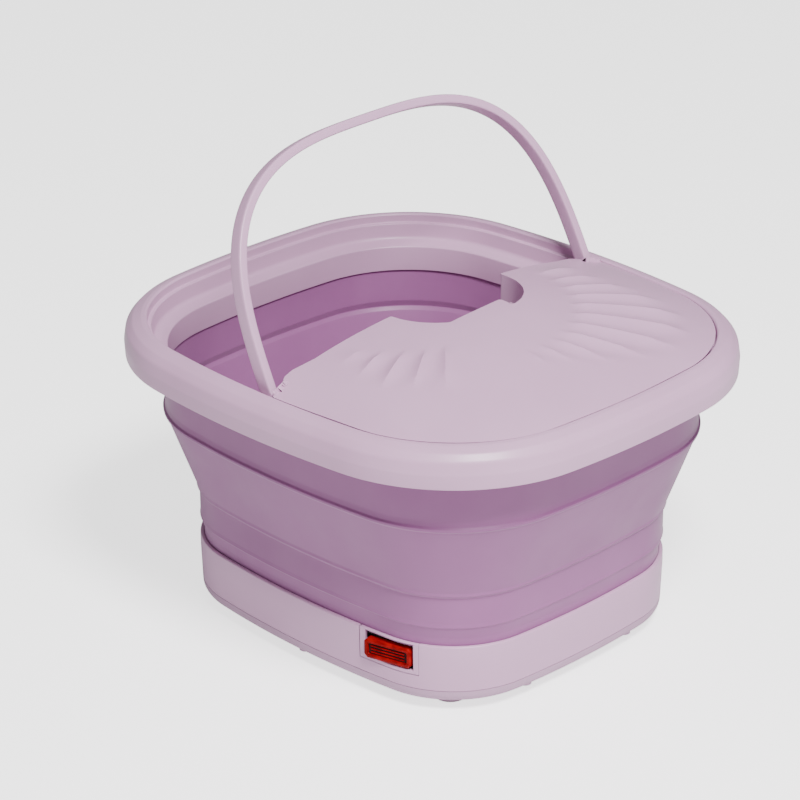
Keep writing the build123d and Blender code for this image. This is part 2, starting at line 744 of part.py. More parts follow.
def temperature_sensor():
    """Disc thermostat against the underside of the pan."""
    top = PAN_FLOOR_Z - PAN_WALL
    x, y = SENSOR_CENTRE
    body = post(x, y, top - 4, top, SENSOR_D)
    for side in (-1, 1):
        body = body + block(x, y + side * 4, top - 9, (4, 0.8, 5))
    return body


def board_corners():
    """Fixing points of the control board."""
    points = []
    for dx in (-1, 1):
        for dy in (-1, 1):
            x = BOARD_CENTRE[0] + dx * (BOARD_SIZE[0] / 2 - 5)
            y = BOARD_CENTRE[1] + dy * (BOARD_SIZE[1] / 2 - 5)
            points.append((x, y))
    return points


def control_board():
    """Control board on four posts."""
    body = block(BOARD_CENTRE[0], BOARD_CENTRE[1], BOARD_Z, BOARD_SIZE)
    for x, y in board_corners():
        body = body - post(x, y, BOARD_Z - 1, BOARD_Z + 4, 2.5)
    return body


def board_screws():
    """Screws of the control board."""
    screws = []
    top = BOARD_Z + BOARD_SIZE[2]
    for x, y in board_corners():
        screws.append(post(x, y, top, top + 1.6, 5) + post(x, y, PLATE_FLOOR_Z + 1.5, top, 2.5))
    return Compound(children=screws)


def board_components():
    """Relay, capacitor, transformer and terminal block."""
    top = BOARD_Z + BOARD_SIZE[2]
    x, y = BOARD_CENTRE
    relay = block(x - 15, y + 8, top, (19, 15, 13))
    transformer = fillet(block(x + 12, y + 6, top, (20, 18, 12)).edges().filter_by(Axis.Z), 2)
    capacitor = post(x - 16, y - 12, top, top + 12, 9)
    terminals = block(x + 10, y - 16, top, (26, 8, 9))
    return Compound(children=[relay, transformer, capacitor, terminals])


def switch_bezel():
    """Frame let into the wall round the switch, flush with the outside."""
    box = switch_block(BEZEL_WIDTH, -6, 6 + BEZEL_DEPTH, BEZEL_BOTTOM_Z, SHELL_FLANGE_Z - GAP)
    body = box & prism(BASE_OUT - 0.1, 0, BASE_TOP_Z)
    upper = switch_block(BEZEL_WIDTH, -6, 14, SHELL_FLANGE_Z - 1, BASE_TOP_Z - 0.2)
    wall = prism(BASE_OUT - 0.1, 0, BASE_TOP_Z) - prism(BASE_OUT - WALL + 0.1, -1, BASE_TOP_Z + 1)
    body = body + (upper & wall)
    window = switch_block(WINDOW_WIDTH, -8, 20, WINDOW_BOTTOM_Z, WINDOW_TOP_Z)
    return body - window


def switch_body():
    """Housing of the switch behind the bezel."""
    low = WINDOW_BOTTOM_Z - 1.5
    high = SHELL_FLANGE_Z - GAP
    body = switch_block(WINDOW_WIDTH + 3, BEZEL_DEPTH, SWITCH_BODY_DEPTH, low, high)
    cavity = switch_block(WINDOW_WIDTH - 1, BEZEL_DEPTH - 1, SWITCH_BODY_DEPTH - 1, low + 1.5, high - 0.6)
    pin = switch_place(0, ROCKER_AXIS_DEPTH, (low + high) / 2) * Cylinder(1.5, high - low - 1)
    return body - cavity + pin


def switch_rocker():
    """Translucent rocker that turns on an upright pin."""
    low = WINDOW_BOTTOM_Z + 0.8
    high = low + ROCKER_HEIGHT
    face = Rectangle(ROCKER_WIDTH, ROCKER_HEIGHT)
    face = chamfer(face.vertices(), 2.4)
    body = extrude(face, ROCKER_DEPTH)
    body = chamfer(body.edges().group_by(Axis.Z)[-1], 1.0)
    body = Rot(90, 0, 0) * body
    hub = Cylinder(3.2, ROCKER_HEIGHT - 1)
    bore = Cylinder(1.5 + PIN_CLEAR, ROCKER_HEIGHT + 4)
    turned = Rot(0, 0, ROCKER_TILT) * (Pos(0, -1.6, 0) * body + hub - bore)
    return switch_place(0, ROCKER_AXIS_DEPTH, (low + high) / 2) * turned


def switch_terminals():
    """Contact blades behind the switch."""
    blades = []
    for number in (-1, 0, 1):
        start = BEZEL_DEPTH + SWITCH_BODY_DEPTH
        blade = switch_place(12 * number, start + 3.5, WINDOW_BOTTOM_Z + 1) * Box(5, 7, 0.8)
        blades.append(blade)
    return Compound(children=blades)


def power_inlet():
    """Appliance inlet in the end wall, its socket left empty."""
    outside = -HALF_LENGTH - BASE_OUT - 0.3
    plate = Pos(outside - 1, 0, INLET_Z) * Box(2, INLET_SIZE[0], INLET_SIZE[1])
    plate = fillet(plate.edges().filter_by(Axis.X), 3)
    depth = 13.5
    inner = (depth, INLET_SIZE[0] - 6, INLET_SIZE[1] - 6)
    barrel = Pos(outside + depth / 2, 0, INLET_Z) * Box(*inner)
    cavity = Pos(outside + depth / 2 - 3, 0, INLET_Z) * Box(depth, inner[1] - 4, inner[2] - 5)
    return plate + fillet(barrel.edges().filter_by(Axis.X), 3) - fillet(cavity.edges().filter_by(Axis.X), 2)


def inlet_pins():
    """Two contact pins of the inlet."""
    outside = -HALF_LENGTH - BASE_OUT - 0.3
    pins = []
    for side in (-1, 1):
        pin = Pos(outside + 9.5, side * 4.3, INLET_Z) * Rot(0, 90, 0) * Cylinder(1.2, 14)
        pins.append(pin)
    return Compound(children=pins)


def write(name, shape):
    """One file for one node."""
    export_step(shape, "parts/" + name + ".step")


def main():
    """Builds and writes every node."""
    os.makedirs("parts", exist_ok=True)
    inlet = power_inlet()
    pins = inlet_pins()
    write("base_shell", base_shell())
    write("base_plate", base_plate())
    write("feet", feet())
    write("base_screws", base_screws())
    write("flange_screws", flange_screws())
    write("basin_pan", basin_pan())
    write("bubble_strip", bubble_strip())
    write("roller_axles", roller_axles())
    for number, (x, y) in enumerate(roller_points(), 1):
        write("roller_" + str(number), roller(x, y))
    write("air_pump", air_pump())
    write("pump_pads", pump_pads())
    write("air_tube", air_tube())
    write("heater_plate", heater_plate())
    write("temperature_sensor", temperature_sensor())
    write("control_board", control_board())
    write("board_screws", board_screws())
    write("board_components", board_components())
    write("switch_bezel", switch_bezel())
    write("switch_body", switch_body())
    write("switch_rocker", switch_rocker())
    write("switch_terminals", switch_terminals())
    write("power_inlet", inlet - pins)
    write("inlet_pins", pins)
    write("sleeve_lower", sleeve_lower())
    write("sleeve_fold", sleeve_fold())
    write("sleeve_upper", sleeve_upper())
    write("rim_collar", rim_collar())
    write("rim_clamp_ring", rim_clamp_ring())
    write("rim_screws", rim_screws())
    write("handle_pivots", handle_pivots())
    write("handle_bail", handle_bail())
    write("lid", lid())


main()
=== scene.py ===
import logging
import math
from dataclasses import dataclass
from enum import Enum
from typing import Callable, Iterable, Sequence

import bmesh
import bpy
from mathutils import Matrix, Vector


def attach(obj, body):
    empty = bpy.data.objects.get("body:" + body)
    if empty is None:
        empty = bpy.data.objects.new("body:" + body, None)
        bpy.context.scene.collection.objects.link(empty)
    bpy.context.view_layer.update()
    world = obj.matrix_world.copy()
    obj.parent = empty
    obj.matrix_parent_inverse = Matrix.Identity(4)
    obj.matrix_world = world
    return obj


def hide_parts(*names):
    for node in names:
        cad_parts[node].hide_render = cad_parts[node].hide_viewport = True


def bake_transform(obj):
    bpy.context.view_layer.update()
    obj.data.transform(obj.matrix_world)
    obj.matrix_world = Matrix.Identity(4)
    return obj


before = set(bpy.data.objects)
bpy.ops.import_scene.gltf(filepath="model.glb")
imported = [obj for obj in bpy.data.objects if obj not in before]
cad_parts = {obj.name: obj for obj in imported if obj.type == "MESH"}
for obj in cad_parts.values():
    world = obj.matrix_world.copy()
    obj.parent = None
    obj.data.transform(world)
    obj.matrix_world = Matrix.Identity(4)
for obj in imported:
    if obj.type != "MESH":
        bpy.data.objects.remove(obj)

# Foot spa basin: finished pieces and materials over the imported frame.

LOG = logging.getLogger("foot_spa")
MM = 0.001
TAU = 2 * math.pi

Profile = list[tuple[float, float]]
Mesh = bmesh.types.BMesh


# ---------------------------------------------------------------- finishes


def linear(code: str) -> tuple[float, float, float, float]:
    """Turns a screen colour into the renderer's linear colour.

    Args:
        code: Six hexadecimal digits.

    Returns:
        Red, green, blue and one for alpha.
    """
    parts = [int(code[i:i + 2], 16) / 255 for i in (0, 2, 4)]
    out = [c / 12.92 if c <= 0.04045 else ((c + 0.055) / 1.055) ** 2.4 for c in parts]
    return (out[0], out[1], out[2], 1.0)


class Graph:
    """A material's node tree, with short calls for the nodes used here."""

    def __init__(self, name: str) -> None:
        """Makes an empty material with a shader and an output.

        Args:
            name: The material's name.
        """
        self.material = bpy.data.materials.new(name)
        self.material.use_nodes = True
        self.tree = self.material.node_tree
        self.tree.nodes.clear()
        self.shader = self.tree.nodes.new("ShaderNodeBsdfPrincipled")
        self.out = self.tree.nodes.new("ShaderNodeOutputMaterial")
        self.link(self.shader.outputs["BSDF"], self.out.inputs["Surface"])
        self.coords = self.tree.nodes.new("ShaderNodeTexCoord").outputs["Object"]

    def link(self, a: bpy.types.NodeSocket, b: bpy.types.NodeSocket) -> None:
        """Joins two sockets."""
        self.tree.links.new(a, b)

    def noise(self, scale: float, detail: float = 2.0, rough: float = 0.5,
              stretch: tuple[float, float, float] = (1, 1, 1)) -> bpy.types.NodeSocket:
        """Adds a noise on Object coordinates.

        Args:
            scale: Cells per metre.
            detail: Octaves.
            rough: Strength of the finer octaves.
            stretch: Scale of each axis.

        Returns:
            The noise's value socket.
        """
        place = self.tree.nodes.new("ShaderNodeMapping")
        place.inputs["Scale"].default_value = stretch
        node = self.tree.nodes.new("ShaderNodeTexNoise")
        node.inputs["Scale"].default_value = scale
        node.inputs["Detail"].default_value = detail
        node.inputs["Roughness"].default_value = rough
        self.link(self.coords, place.inputs["Vector"])
        self.link(place.outputs["Vector"], node.inputs["Vector"])
        return node.outputs["Fac"]

    def cells(self, scale: float) -> bpy.types.NodeSocket:
        """Adds a cell pattern on Object coordinates and returns its distance socket."""
        node = self.tree.nodes.new("ShaderNodeTexVoronoi")
        node.inputs["Scale"].default_value = scale
        self.link(self.coords, node.inputs["Vector"])
        return node.outputs["Distance"]

    def ramp(self, value: bpy.types.NodeSocket,
             stops: Sequence[tuple[float, tuple[float, float, float, float]]]) -> bpy.types.NodeSocket:
        """Turns a value into a colour.

        Args:
            value: The socket to read.
            stops: Position and colour of each stop.

        Returns:
            The colour socket.
        """
        node = self.tree.nodes.new("ShaderNodeValToRGB")
        items = node.color_ramp.elements
        while len(items) < len(stops):
            items.new(0.5)
        for item, (position, colour) in zip(items, stops):
            item.position = position
            item.color = colour
        self.link(value, node.inputs["Fac"])
        return node.outputs["Color"]

    def span(self, value: bpy.types.NodeSocket, low: float, high: float,
             source: tuple[float, float] = (0.3, 0.7)) -> bpy.types.NodeSocket:
        """Maps a value to a range.

        Args:
            value: The socket to read.
            low: Result at the source's low end.
            high: Result at the source's high end.
            source: The range that is read.

        Returns:
            The mapped socket.
        """
        node = self.tree.nodes.new("ShaderNodeMapRange")
        node.inputs["From Min"].default_value = source[0]
        node.inputs["From Max"].default_value = source[1]
        node.inputs["To Min"].default_value = low
        node.inputs["To Max"].default_value = high
        self.link(value, node.inputs["Value"])
        return node.outputs["Result"]

    def bump(self, height: bpy.types.NodeSocket, strength: float, distance: float,
             under: bpy.types.NodeSocket | None = None) -> bpy.types.NodeSocket:
        """Adds a bump to the shader's normal.

        Args:
            height: Height socket.
            strength: Strength of the effect.
            distance: Depth in metres.
            under: An earlier bump's normal to build on.

        Returns:
            The bump's normal socket.
        """
        node = self.tree.nodes.new("ShaderNodeBump")
        node.inputs["Strength"].default_value = strength
        node.inputs["Distance"].default_value = distance
        self.link(height, node.inputs["Height"])
        if under is not None:
            self.link(under, node.inputs["Normal"])
        self.link(node.outputs["Normal"], self.shader.inputs["Normal"])
        return node.outputs["Normal"]

    def set(self, **values: float | tuple[float, ...]) -> None:
        """Sets constant values on the shader's own sockets."""
        for key, value in values.items():
            self.shader.inputs[key.replace("_", " ")].default_value = value


@dataclass(frozen=True)
class MouldedPlastic:
    """Injection-moulded plastic: faint flow clouds, fine grain and soft gloss."""

    name: str
    light: str
    dark: str
    rough: tuple[float, float] = (0.34, 0.42)
    grain: float = 0.10
    coat: float = 0.0
    depth: float = 0.0

    def build(self) -> bpy.types.Material:
        """Makes the material."""
        g = Graph(self.name)
        clouds = g.noise(9.0, 3.0, 0.55)
        g.link(g.ramp(clouds, [(0.30, linear(self.dark)), (0.72, linear(self.light))]),
               g.shader.inputs["Base Color"])
        g.link(g.span(g.noise(60.0, 3.0), *self.rough), g.shader.inputs["Roughness"])
        flow = g.bump(g.noise(14.0, 1.0), 0.06, 0.0016)
        g.bump(g.noise(2600.0, 2.0, 0.6), self.grain, 0.00006, flow)
        g.set(Coat_Weight=self.coat, Coat_Roughness=0.2, Subsurface_Weight=self.depth,
              Subsurface_Radius=(0.006, 0.004, 0.005), Subsurface_Scale=1.0, IOR=1.47)
        return g.material


@dataclass(frozen=True)
class SoftWall:
    """Soft elastomer: satin skin with a faint bloom and fine matte texture."""

    name: str
    light: str
    dark: str

    def build(self) -> bpy.types.Material:
        """Makes the material."""
        g = Graph(self.name)
        clouds = g.noise(7.0, 4.0, 0.6)
        g.link(g.ramp(clouds, [(0.28, linear(self.dark)), (0.75, linear(self.light))]),
               g.shader.inputs["Base Color"])
        g.link(g.span(g.noise(35.0, 4.0), 0.40, 0.52), g.shader.inputs["Roughness"])
        flow = g.bump(g.noise(11.0, 2.0), 0.10, 0.002)
        g.bump(g.noise(1800.0, 3.0, 0.65), 0.16, 0.00008, flow)
        g.set(Sheen_Weight=0.12, Sheen_Roughness=0.5, Subsurface_Weight=0.06,
              Subsurface_Radius=(0.004, 0.002, 0.003), Subsurface_Scale=1.0, IOR=1.45)
        return g.material


@dataclass(frozen=True)
class RedLens:
    """Tinted translucent paddle with a faint inner glow."""

    name: str
    light: str
    dark: str
    glow: float = 0.0

    def build(self) -> bpy.types.Material:
        """Makes the material."""
        g = Graph(self.name)
        tone = g.noise(180.0, 2.0)
        colour = g.ramp(tone, [(0.3, linear(self.dark)), (0.7, linear(self.light))])
        g.link(colour, g.shader.inputs["Base Color"])
        g.link(g.span(g.noise(90.0, 2.0), 0.30, 0.42), g.shader.inputs["Roughness"])
        if self.glow:
            g.link(colour, g.shader.inputs["Emission Color"])
        g.bump(g.noise(700.0, 1.0), 0.05, 0.0001)
        g.set(Emission_Strength=self.glow, Specular_IOR_Level=0.12, IOR=1.4)
        return g.material


@dataclass(frozen=True)
class Metal:
    """Plated or cast metal with fine directional marks."""

    name: str
    light: str
    dark: str
    rough: tuple[float, float] = (0.22, 0.38)
    stretch: tuple[float, float, float] = (1, 1, 8)

    def build(self) -> bpy.types.Material:
        """Makes the material."""
        g = Graph(self.name)
        marks = g.noise(420.0, 3.0, 0.6, self.stretch)
        g.link(g.ramp(marks, [(0.3, linear(self.dark)), (0.7, linear(self.light))]),
               g.shader.inputs["Base Color"])
        g.link(g.span(marks, *self.rough), g.shader.inputs["Roughness"])
        g.bump(marks, 0.12, 0.00005)
        g.set(Metallic=1.0)
        return g.material


@dataclass(frozen=True)
class Board:
    """Coated circuit board with faint tracks."""

    name: str

    def build(self) -> bpy.types.Material:
        """Makes the material."""
        g = Graph(self.name)
        tracks = g.cells(220.0)
        g.link(g.ramp(tracks, [(0.05, linear("1d5a34")), (0.18, linear("0f3c22"))]),
               g.shader.inputs["Base Color"])
        g.link(g.span(g.noise(300.0), 0.25, 0.4), g.shader.inputs["Roughness"])
        g.bump(tracks, 0.2, 0.00005)
        return g.material


class Finish(Enum):
    """The finishes of this object."""

    SHELL = MouldedPlastic("lilac_shell", "d8abce", "d0a3c6", (0.33, 0.42), 0.08, 0.05, 0.05)
    BOTTOM = MouldedPlastic("lilac_bottom", "c49fbc", "ba95b2", (0.42, 0.55), 0.25)
    PAN = MouldedPlastic("lilac_pan", "dcbdd5", "d3b2cc", (0.28, 0.38), 0.10, 0.0, 0.04)
    FOOT = MouldedPlastic("lilac_foot", "c6a9bf", "bb9db4", (0.50, 0.62), 0.35)
    ROLLER = MouldedPlastic("roller_plastic", "e0c6dc", "d6b9d1", (0.26, 0.36), 0.10)
    AXLE = MouldedPlastic("white_plastic", "ece8ec", "dfd9df", (0.30, 0.42), 0.12)
    DARK = MouldedPlastic("black_plastic", "1b191b", "121012", (0.35, 0.50), 0.30)
    PUMP = MouldedPlastic("pump_plastic", "2b2a2c", "1f1e20", (0.45, 0.60), 0.40)
    TUBE = MouldedPlastic("tube_silicone", "e2e2df", "d2d2ce", (0.30, 0.45), 0.05, 0.0, 0.2)
    WALL = SoftWall("mauve_soft_wall", "a2679a", "965c8e")
    RED = RedLens("red_lens", "a00206", "6c0103", 0.06)
    # A much darker copy of the red lens for the paddle's sunk centre: painted shade.
    RED_DEEP = RedLens("red_lens_painted_shade", "3a0002", "1c0001")
    STEEL = Metal("plated_steel", "c4c5c8", "9fa0a4")
    BRASS = Metal("plated_brass", "d6b36a", "b08b45")
    CAST = Metal("cast_aluminium", "c9cacc", "a3a5a8", (0.35, 0.55), (1, 1, 1))
    BOARD = Board("circuit_board")

    @property
    def material(self) -> bpy.types.Material:
        """The finish's material, made once."""
        found = bpy.data.materials.get(self.value.name)
        return found if found else self.value.build()


# ---------------------------------------------------------------- outline


@dataclass(frozen=True)
class Outline:
    """The rounded rectangle at the rim's crest: bulged sides and corner arcs."""

    half_length: float = 190 * MM
    half_width: float = 170 * MM
    side_radius: float = 788 * MM
    end_radius: float = 744 * MM
    corner_radius: float = 108 * MM

    def corner(self) -> tuple[float, float]:
        """Centre of the corner arc that touches a long side and an end."""
        side_y = self.half_width - self.side_radius
        end_x = self.half_length - self.end_radius
        from_side = self.side_radius - self.corner_radius
        from_end = self.end_radius - self.corner_radius
        span = math.hypot(end_x, side_y)
        along = (from_side**2 - from_end**2 + span**2) / (2 * span)
        across = math.sqrt(from_side**2 - along**2)
        ux, uy = end_x / span, -side_y / span
        return (along * ux + across * uy, side_y + along * uy - across * ux)

    def arcs(self) -> list[tuple[tuple[float, float], float, float, float]]:
        """Centre, radius, start angle and sweep of the eight arcs."""
        cx, cy = self.corner()
        side_y = self.half_width - self.side_radius
        end_x = self.half_length - self.end_radius
        low = math.atan2(cy, cx - end_x)
        high = math.atan2(cy - side_y, cx)
        half = math.pi
        r, e, s = self.corner_radius, self.end_radius, self.side_radius
        return [
            ((end_x, 0.0), e, -low, 2 * low),
            ((cx, cy), r, low, high - low),
            ((0.0, side_y), s, high, half - 2 * high),
            ((-cx, cy), r, half - high, high - low),
            ((-end_x, 0.0), e, half - low, 2 * low),
            ((-cx, -cy), r, half + low, high - low),
            ((0.0, -side_y), s, half + high, half - 2 * high),
            ((cx, -cy), r, TAU - high, high - low),
        ]

    def at(self, along: float, offset: float = 0.0) -> Vector:
        """One point of the outline.

        Args:
            along: Share of the way round, from 0 to 1.
            offset: Distance outwards from the crest.

        Returns:
            The point, at height zero.
        """
        arcs = self.arcs()
        left = (along % 1.0) * sum(r * size for _, r, _, size in arcs)
        for (cx, cy), radius, start, size in arcs:
            if left <= radius * size:
                turn = start + left / radius
                reach = radius + offset
                return Vector((cx + reach * math.cos(turn), cy + reach * math.sin(turn), 0))
            left -= radius * size
        return self.at(0.0, offset)


OUTLINE = Outline()


def rounded(points: Sequence[tuple[float, float, float]], steps: int = 5) -> Profile:
    """Rounds the corners of a closed section.

    Args:
        points: Offset, height and corner radius of each corner, in millimetres.
        steps: Segments of each rounding.

    Returns:
        The section in metres.
    """
    out: Profile = []
    count = len(points)
    for i, (x, y, radius) in enumerate(points):
        here = Vector((x, y))
        if radius <= 0:
            out.append((x * MM, y * MM))
            continue
        back = Vector(points[i - 1][:2]) - here
        on = Vector(points[(i + 1) % count][:2]) - here
        half = back.angle(on) / 2
        trim = min(radius / math.tan(half), 0.48 * back.length, 0.48 * on.length)
        size = trim * math.tan(half)
        centre = here + (back.normalized() + on.normalized()).normalized() * (size / math.sin(half))
        a = here + back.normalized() * trim - centre
        b = here + on.normalized() * trim - centre
        turn = a.angle_signed(b)
        for k in range(steps + 1):
            part = -turn * k / steps
            spot = centre + Vector((a.x * math.cos(part) - a.y * math.sin(part),
                                    a.x * math.sin(part) + a.y * math.cos(part)))
            out.append((spot.x * MM, spot.y * MM))
    return out


# ---------------------------------------------------------------- mesh tools


def new_piece(name: str, mesh: Mesh, finish: Finish, smooth: float = 35.0,
              extra: Sequence[Finish] = ()) -> bpy.types.Object:
    """Turns a bmesh into a shaded object at the origin.

    Args:
        name: The piece's name.
        mesh: The finished bmesh, which is freed.
        finish: The piece's first finish.
        smooth: Angle in degrees above which an edge is sharp.
        extra: Further finishes, in slot order.

    Returns:
        The object.
    """
    for edge in mesh.edges:
        flat = len(edge.link_faces) == 2 and edge.calc_face_angle(0.0) < math.radians(smooth)
        edge.smooth = flat
    for face in mesh.faces:
        face.smooth = True
    data = bpy.data.meshes.new(name)
    mesh.to_mesh(data)
    mesh.free()
    piece = bpy.data.objects.new(name, data)
    bpy.context.scene.collection.objects.link(piece)
    for item in (finish, *extra):
        data.materials.append(item.material)
    LOG.info("%s: %d faces", name, len(data.polygons))
    return piece


def outward(mesh: Mesh) -> None:
    """Turns every face of a closed mesh outwards, or an open one to a single side."""
    bmesh.ops.recalc_face_normals(mesh, faces=mesh.faces[:])


def step_loop(mesh: Mesh, columns: dict[bmesh.types.BMVert, int],
              place: Callable[[int], Vector]) -> dict[bmesh.types.BMVert, int]:
    """Extrudes a loop once and puts its new corners in place.

    Args:
        mesh: The mesh.
        columns: The loop's corners with their column numbers.
        place: Gives a column's new position.

    Returns:
        The new loop's corners with their column numbers.
    """
    edges = {e for v in columns for e in v.link_edges if e.other_vert(v) in columns}
    made = bmesh.ops.extrude_edge_only(mesh, edges=list(edges))["geom"]
    fresh: dict[bmesh.types.BMVert, int] = {}
    for vert in (item for item in made if isinstance(item, bmesh.types.BMVert)):
        for edge in vert.link_edges:
            other = edge.other_vert(vert)
            if other in columns:
                fresh[vert] = columns[other]
    for vert, column in fresh.items():
        vert.co = place(column)
    return fresh


def ring_mesh(section: Profile, count: int) -> Mesh:
    """Carries a closed section round the outline.

    Args:
        section: Offset and height of each corner, in metres.
        count: Columns round the outline.

    Returns:
        The ring.
    """
    mesh = bmesh.new()
    made = bmesh.ops.create_circle(mesh, cap_ends=False, segments=count, radius=1.0)["verts"]
    made.sort(key=lambda v: math.atan2(v.co.y, v.co.x) % TAU)
    base = [OUTLINE.at(i / count) for i in range(count)]
    rims = [OUTLINE.at(i / count, 1.0) - base[i] for i in range(count)]

    def spot(number: int) -> Callable[[int], Vector]:
        offset, height = section[number]
        return lambda column: base[column] + rims[column] * offset + Vector((0, 0, height))

    loop = {vert: i for i, vert in enumerate(made)}
    for vert, column in loop.items():
        vert.co = spot(0)(column)
    for number in range(1, len(section)):
        loop = step_loop(mesh, loop, spot(number))
    step_loop(mesh, loop, spot(0))
    bmesh.ops.remove_doubles(mesh, verts=mesh.verts[:], dist=1e-6)
    outward(mesh)
    return mesh


def finish_edges(piece: bpy.types.Object, wall: float = 0.0, edge: float = 0.0,
                 segments: int = 3, angle: float = 40.0) -> None:
    """Thickens a sheet inwards and rounds its edges.

    Args:
        piece: The piece.
        wall: Thickness in metres, or zero.
        edge: Rounding width in metres, or zero.
        segments: Segments of the rounding.
        angle: Edges sharper than this many degrees are rounded.
    """
    if wall:
        solid = piece.modifiers.new("wall", "SOLIDIFY")
        solid.thickness = wall
        solid.offset = -1.0
        solid.use_quality_normals = True
    if edge:
        bevel = piece.modifiers.new("edge", "BEVEL")
        bevel.width = edge
        bevel.segments = segments
        bevel.limit_method = "ANGLE"
        bevel.angle_limit = math.radians(angle)
        bevel.harden_normals = False


def place_piece(piece: bpy.types.Object, body: str, nodes: Iterable[str] = ()) -> None:
    """Rides a piece on its body and hides the nodes it replaces.

    Args:
        piece: The finished piece.
        body: The body that carries it.
        nodes: The frame's nodes that it stands for.
    """
    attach(piece, body)
    names = tuple(nodes)
    if names:
        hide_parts(*names)
    LOG.info("%s rides on %s", piece.name, body)


def ease(value: float) -> float:
    """Smooth step from 0 to 1."""
    t = max(0.0, min(1.0, value))
    return t * t * (3 - 2 * t)


# ---------------------------------------------------------------- rim


@dataclass
class Rim:
    """Rolled collar with its lip, ledge, sloping shelf and inner wall."""

    crest: float = 226.0
    ledge: float = 219.0
    shelf: float = 204.5
    wall_bottom: float = 184.6
    skirt: float = 198.2
    skirt_out: float = 15.5

    def section(self) -> Profile:
        """The collar's closed section."""
        out = self.skirt_out
        return rounded([
            (-0.3, self.crest, 1.0), (3.0, self.crest - 0.4, 4.0), (9.5, self.crest - 3.0, 5.0),
            (out - 1.4, self.crest - 8.0, 6.0), (out, self.crest - 17.0, 9.0),
            (out - 0.6, self.skirt, 0.9), (out - 3.8, self.skirt, 0.5), (out - 3.0, self.crest - 16.0, 4.0),
            (7.0, self.crest - 7.5, 3.0), (3.0, self.crest - 10.0, 3.0), (-3.0, 207.0, 2.0),
            (-12.7, 203.3, 0.5), (-13.3, 202.9, 0.3), (-13.3, self.wall_bottom, 0.4),
            (-14.8, self.wall_bottom, 0.5), (-15.8, self.shelf, 1.2), (-5.4, 207.0, 3.5),
            (-4.6, self.ledge, 0.8), (-1.5, self.ledge, 0.8), (-1.5, self.crest - 1.2, 0.6),
        ], 5)

    def build(self) -> None:
        """Makes the collar."""
        piece = new_piece("rim_roll", ring_mesh(self.section(), 320), Finish.SHELL, 50)
        place_piece(piece, "rim", ["rim_collar"])


# ---------------------------------------------------------------- soft wall


@dataclass
class CollapsibleWall:
    """One moulded soft wall: upper band, tapered fold, lower bands and beads."""

    fold_top: float = 154.0
    fold_low: float = 92.4
    thick: float = 2.4
    row: float = 3.5 * MM

    def outer(self) -> list[tuple[float, float, float]]:
        """The outside of the wall, from top to bottom."""
        return [
            (-10.6, 201.0, 0.0), (-10.6, 190.0, 20.0), (-12.6, 161.0, 12.0), (-12.2, 157.0, 1.5),
            (-10.7, 155.8, 0.9), (-10.9, 154.0, 0.9), (-12.6, 152.2, 3.0), (-33.3, 95.4, 4.0),
            (-33.2, 93.2, 0.8), (-34.2, 91.8, 0.8), (-35.4, 90.6, 2.0), (-35.5, 70.2, 2.0),
            (-35.1, 67.6, 0.7), (-36.2, 66.2, 0.8), (-38.2, 58.0, 10.0), (-38.2, 52.0, 0.0),
        ]

    def inner(self) -> list[tuple[float, float, float]]:
        """The inside of the wall, from bottom to top."""
        t = self.thick
        return [
            (-40.6, 52.0, 0.0), (-40.4, 59.0, 8.0), (-38.8, 65.0, 2.0), (-38.0, 69.0, 1.5),
            (-37.9, 88.0, 3.0), (-33.3 - t - 0.2, 95.0, 4.0), (-12.6 - t - 0.4, 151.6, 3.0),
            (-10.9 - t, 154.6, 1.2), (-12.6 - t, 159.5, 4.0), (-13.0, 182.0, 6.0), (-13.0, 201.0, 0.0),
        ]

    def build(self) -> None:
        """Makes the wall as one closed ring."""
        section = rounded(self.outer() + self.inner(), 5)
        dense: Profile = []
        for i, here in enumerate(section):
            dense.append(here)
            after = section[(i + 1) % len(section)]
            gap = math.dist(here, after)
            parts = int(gap / self.row)
            for k in range(1, parts):
                spot = Vector(here).lerp(Vector(after), k / parts)
                dense.append((spot.x, spot.y))
        piece = new_piece("soft_wall", ring_mesh(dense, 288), Finish.WALL, 60)
        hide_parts("sleeve_upper", "sleeve_fold", "sleeve_lower")
        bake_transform(piece)
        LOG.info("soft_wall bends between base and rim")


# ---------------------------------------------------------------- base


@dataclass(frozen=True)
class Base:
    """Upright base shell with its switch opening."""

    top: float = 52.6
    seam: float = 17.0
    straight_z: float = 42.6
    draft: float = 0.9
    out: float = -35.0
    flange: float = -50.2
    flange_z: tuple[float, float] = (48.5, 51.5)
    count: int = 320

    def build(self) -> None:
        """Makes the shell's wall, with a gap where the bezel sits."""
        low, high = self.flange_z
        section = rounded([
            (self.out - self.draft, self.seam + 0.3, 0.3), (self.out, self.straight_z, 6.0),
            (self.out, self.top, 1.1),
            (self.out - 2.8, self.top, 0.5), (self.out - 3.0, high, 0.3), (self.flange, high, 0.5),
            (self.flange, low, 0.5), (self.out - 3.0, low, 0.5), (self.out - 3.9, self.seam + 0.3, 0.3),
        ], 4)
        mesh = ring_mesh(section, self.count)
        SwitchPlace().cut_wall(mesh)
        piece = new_piece("base_wall", mesh, Finish.SHELL, 50)
        place_piece(piece, "base", ["base_shell"])


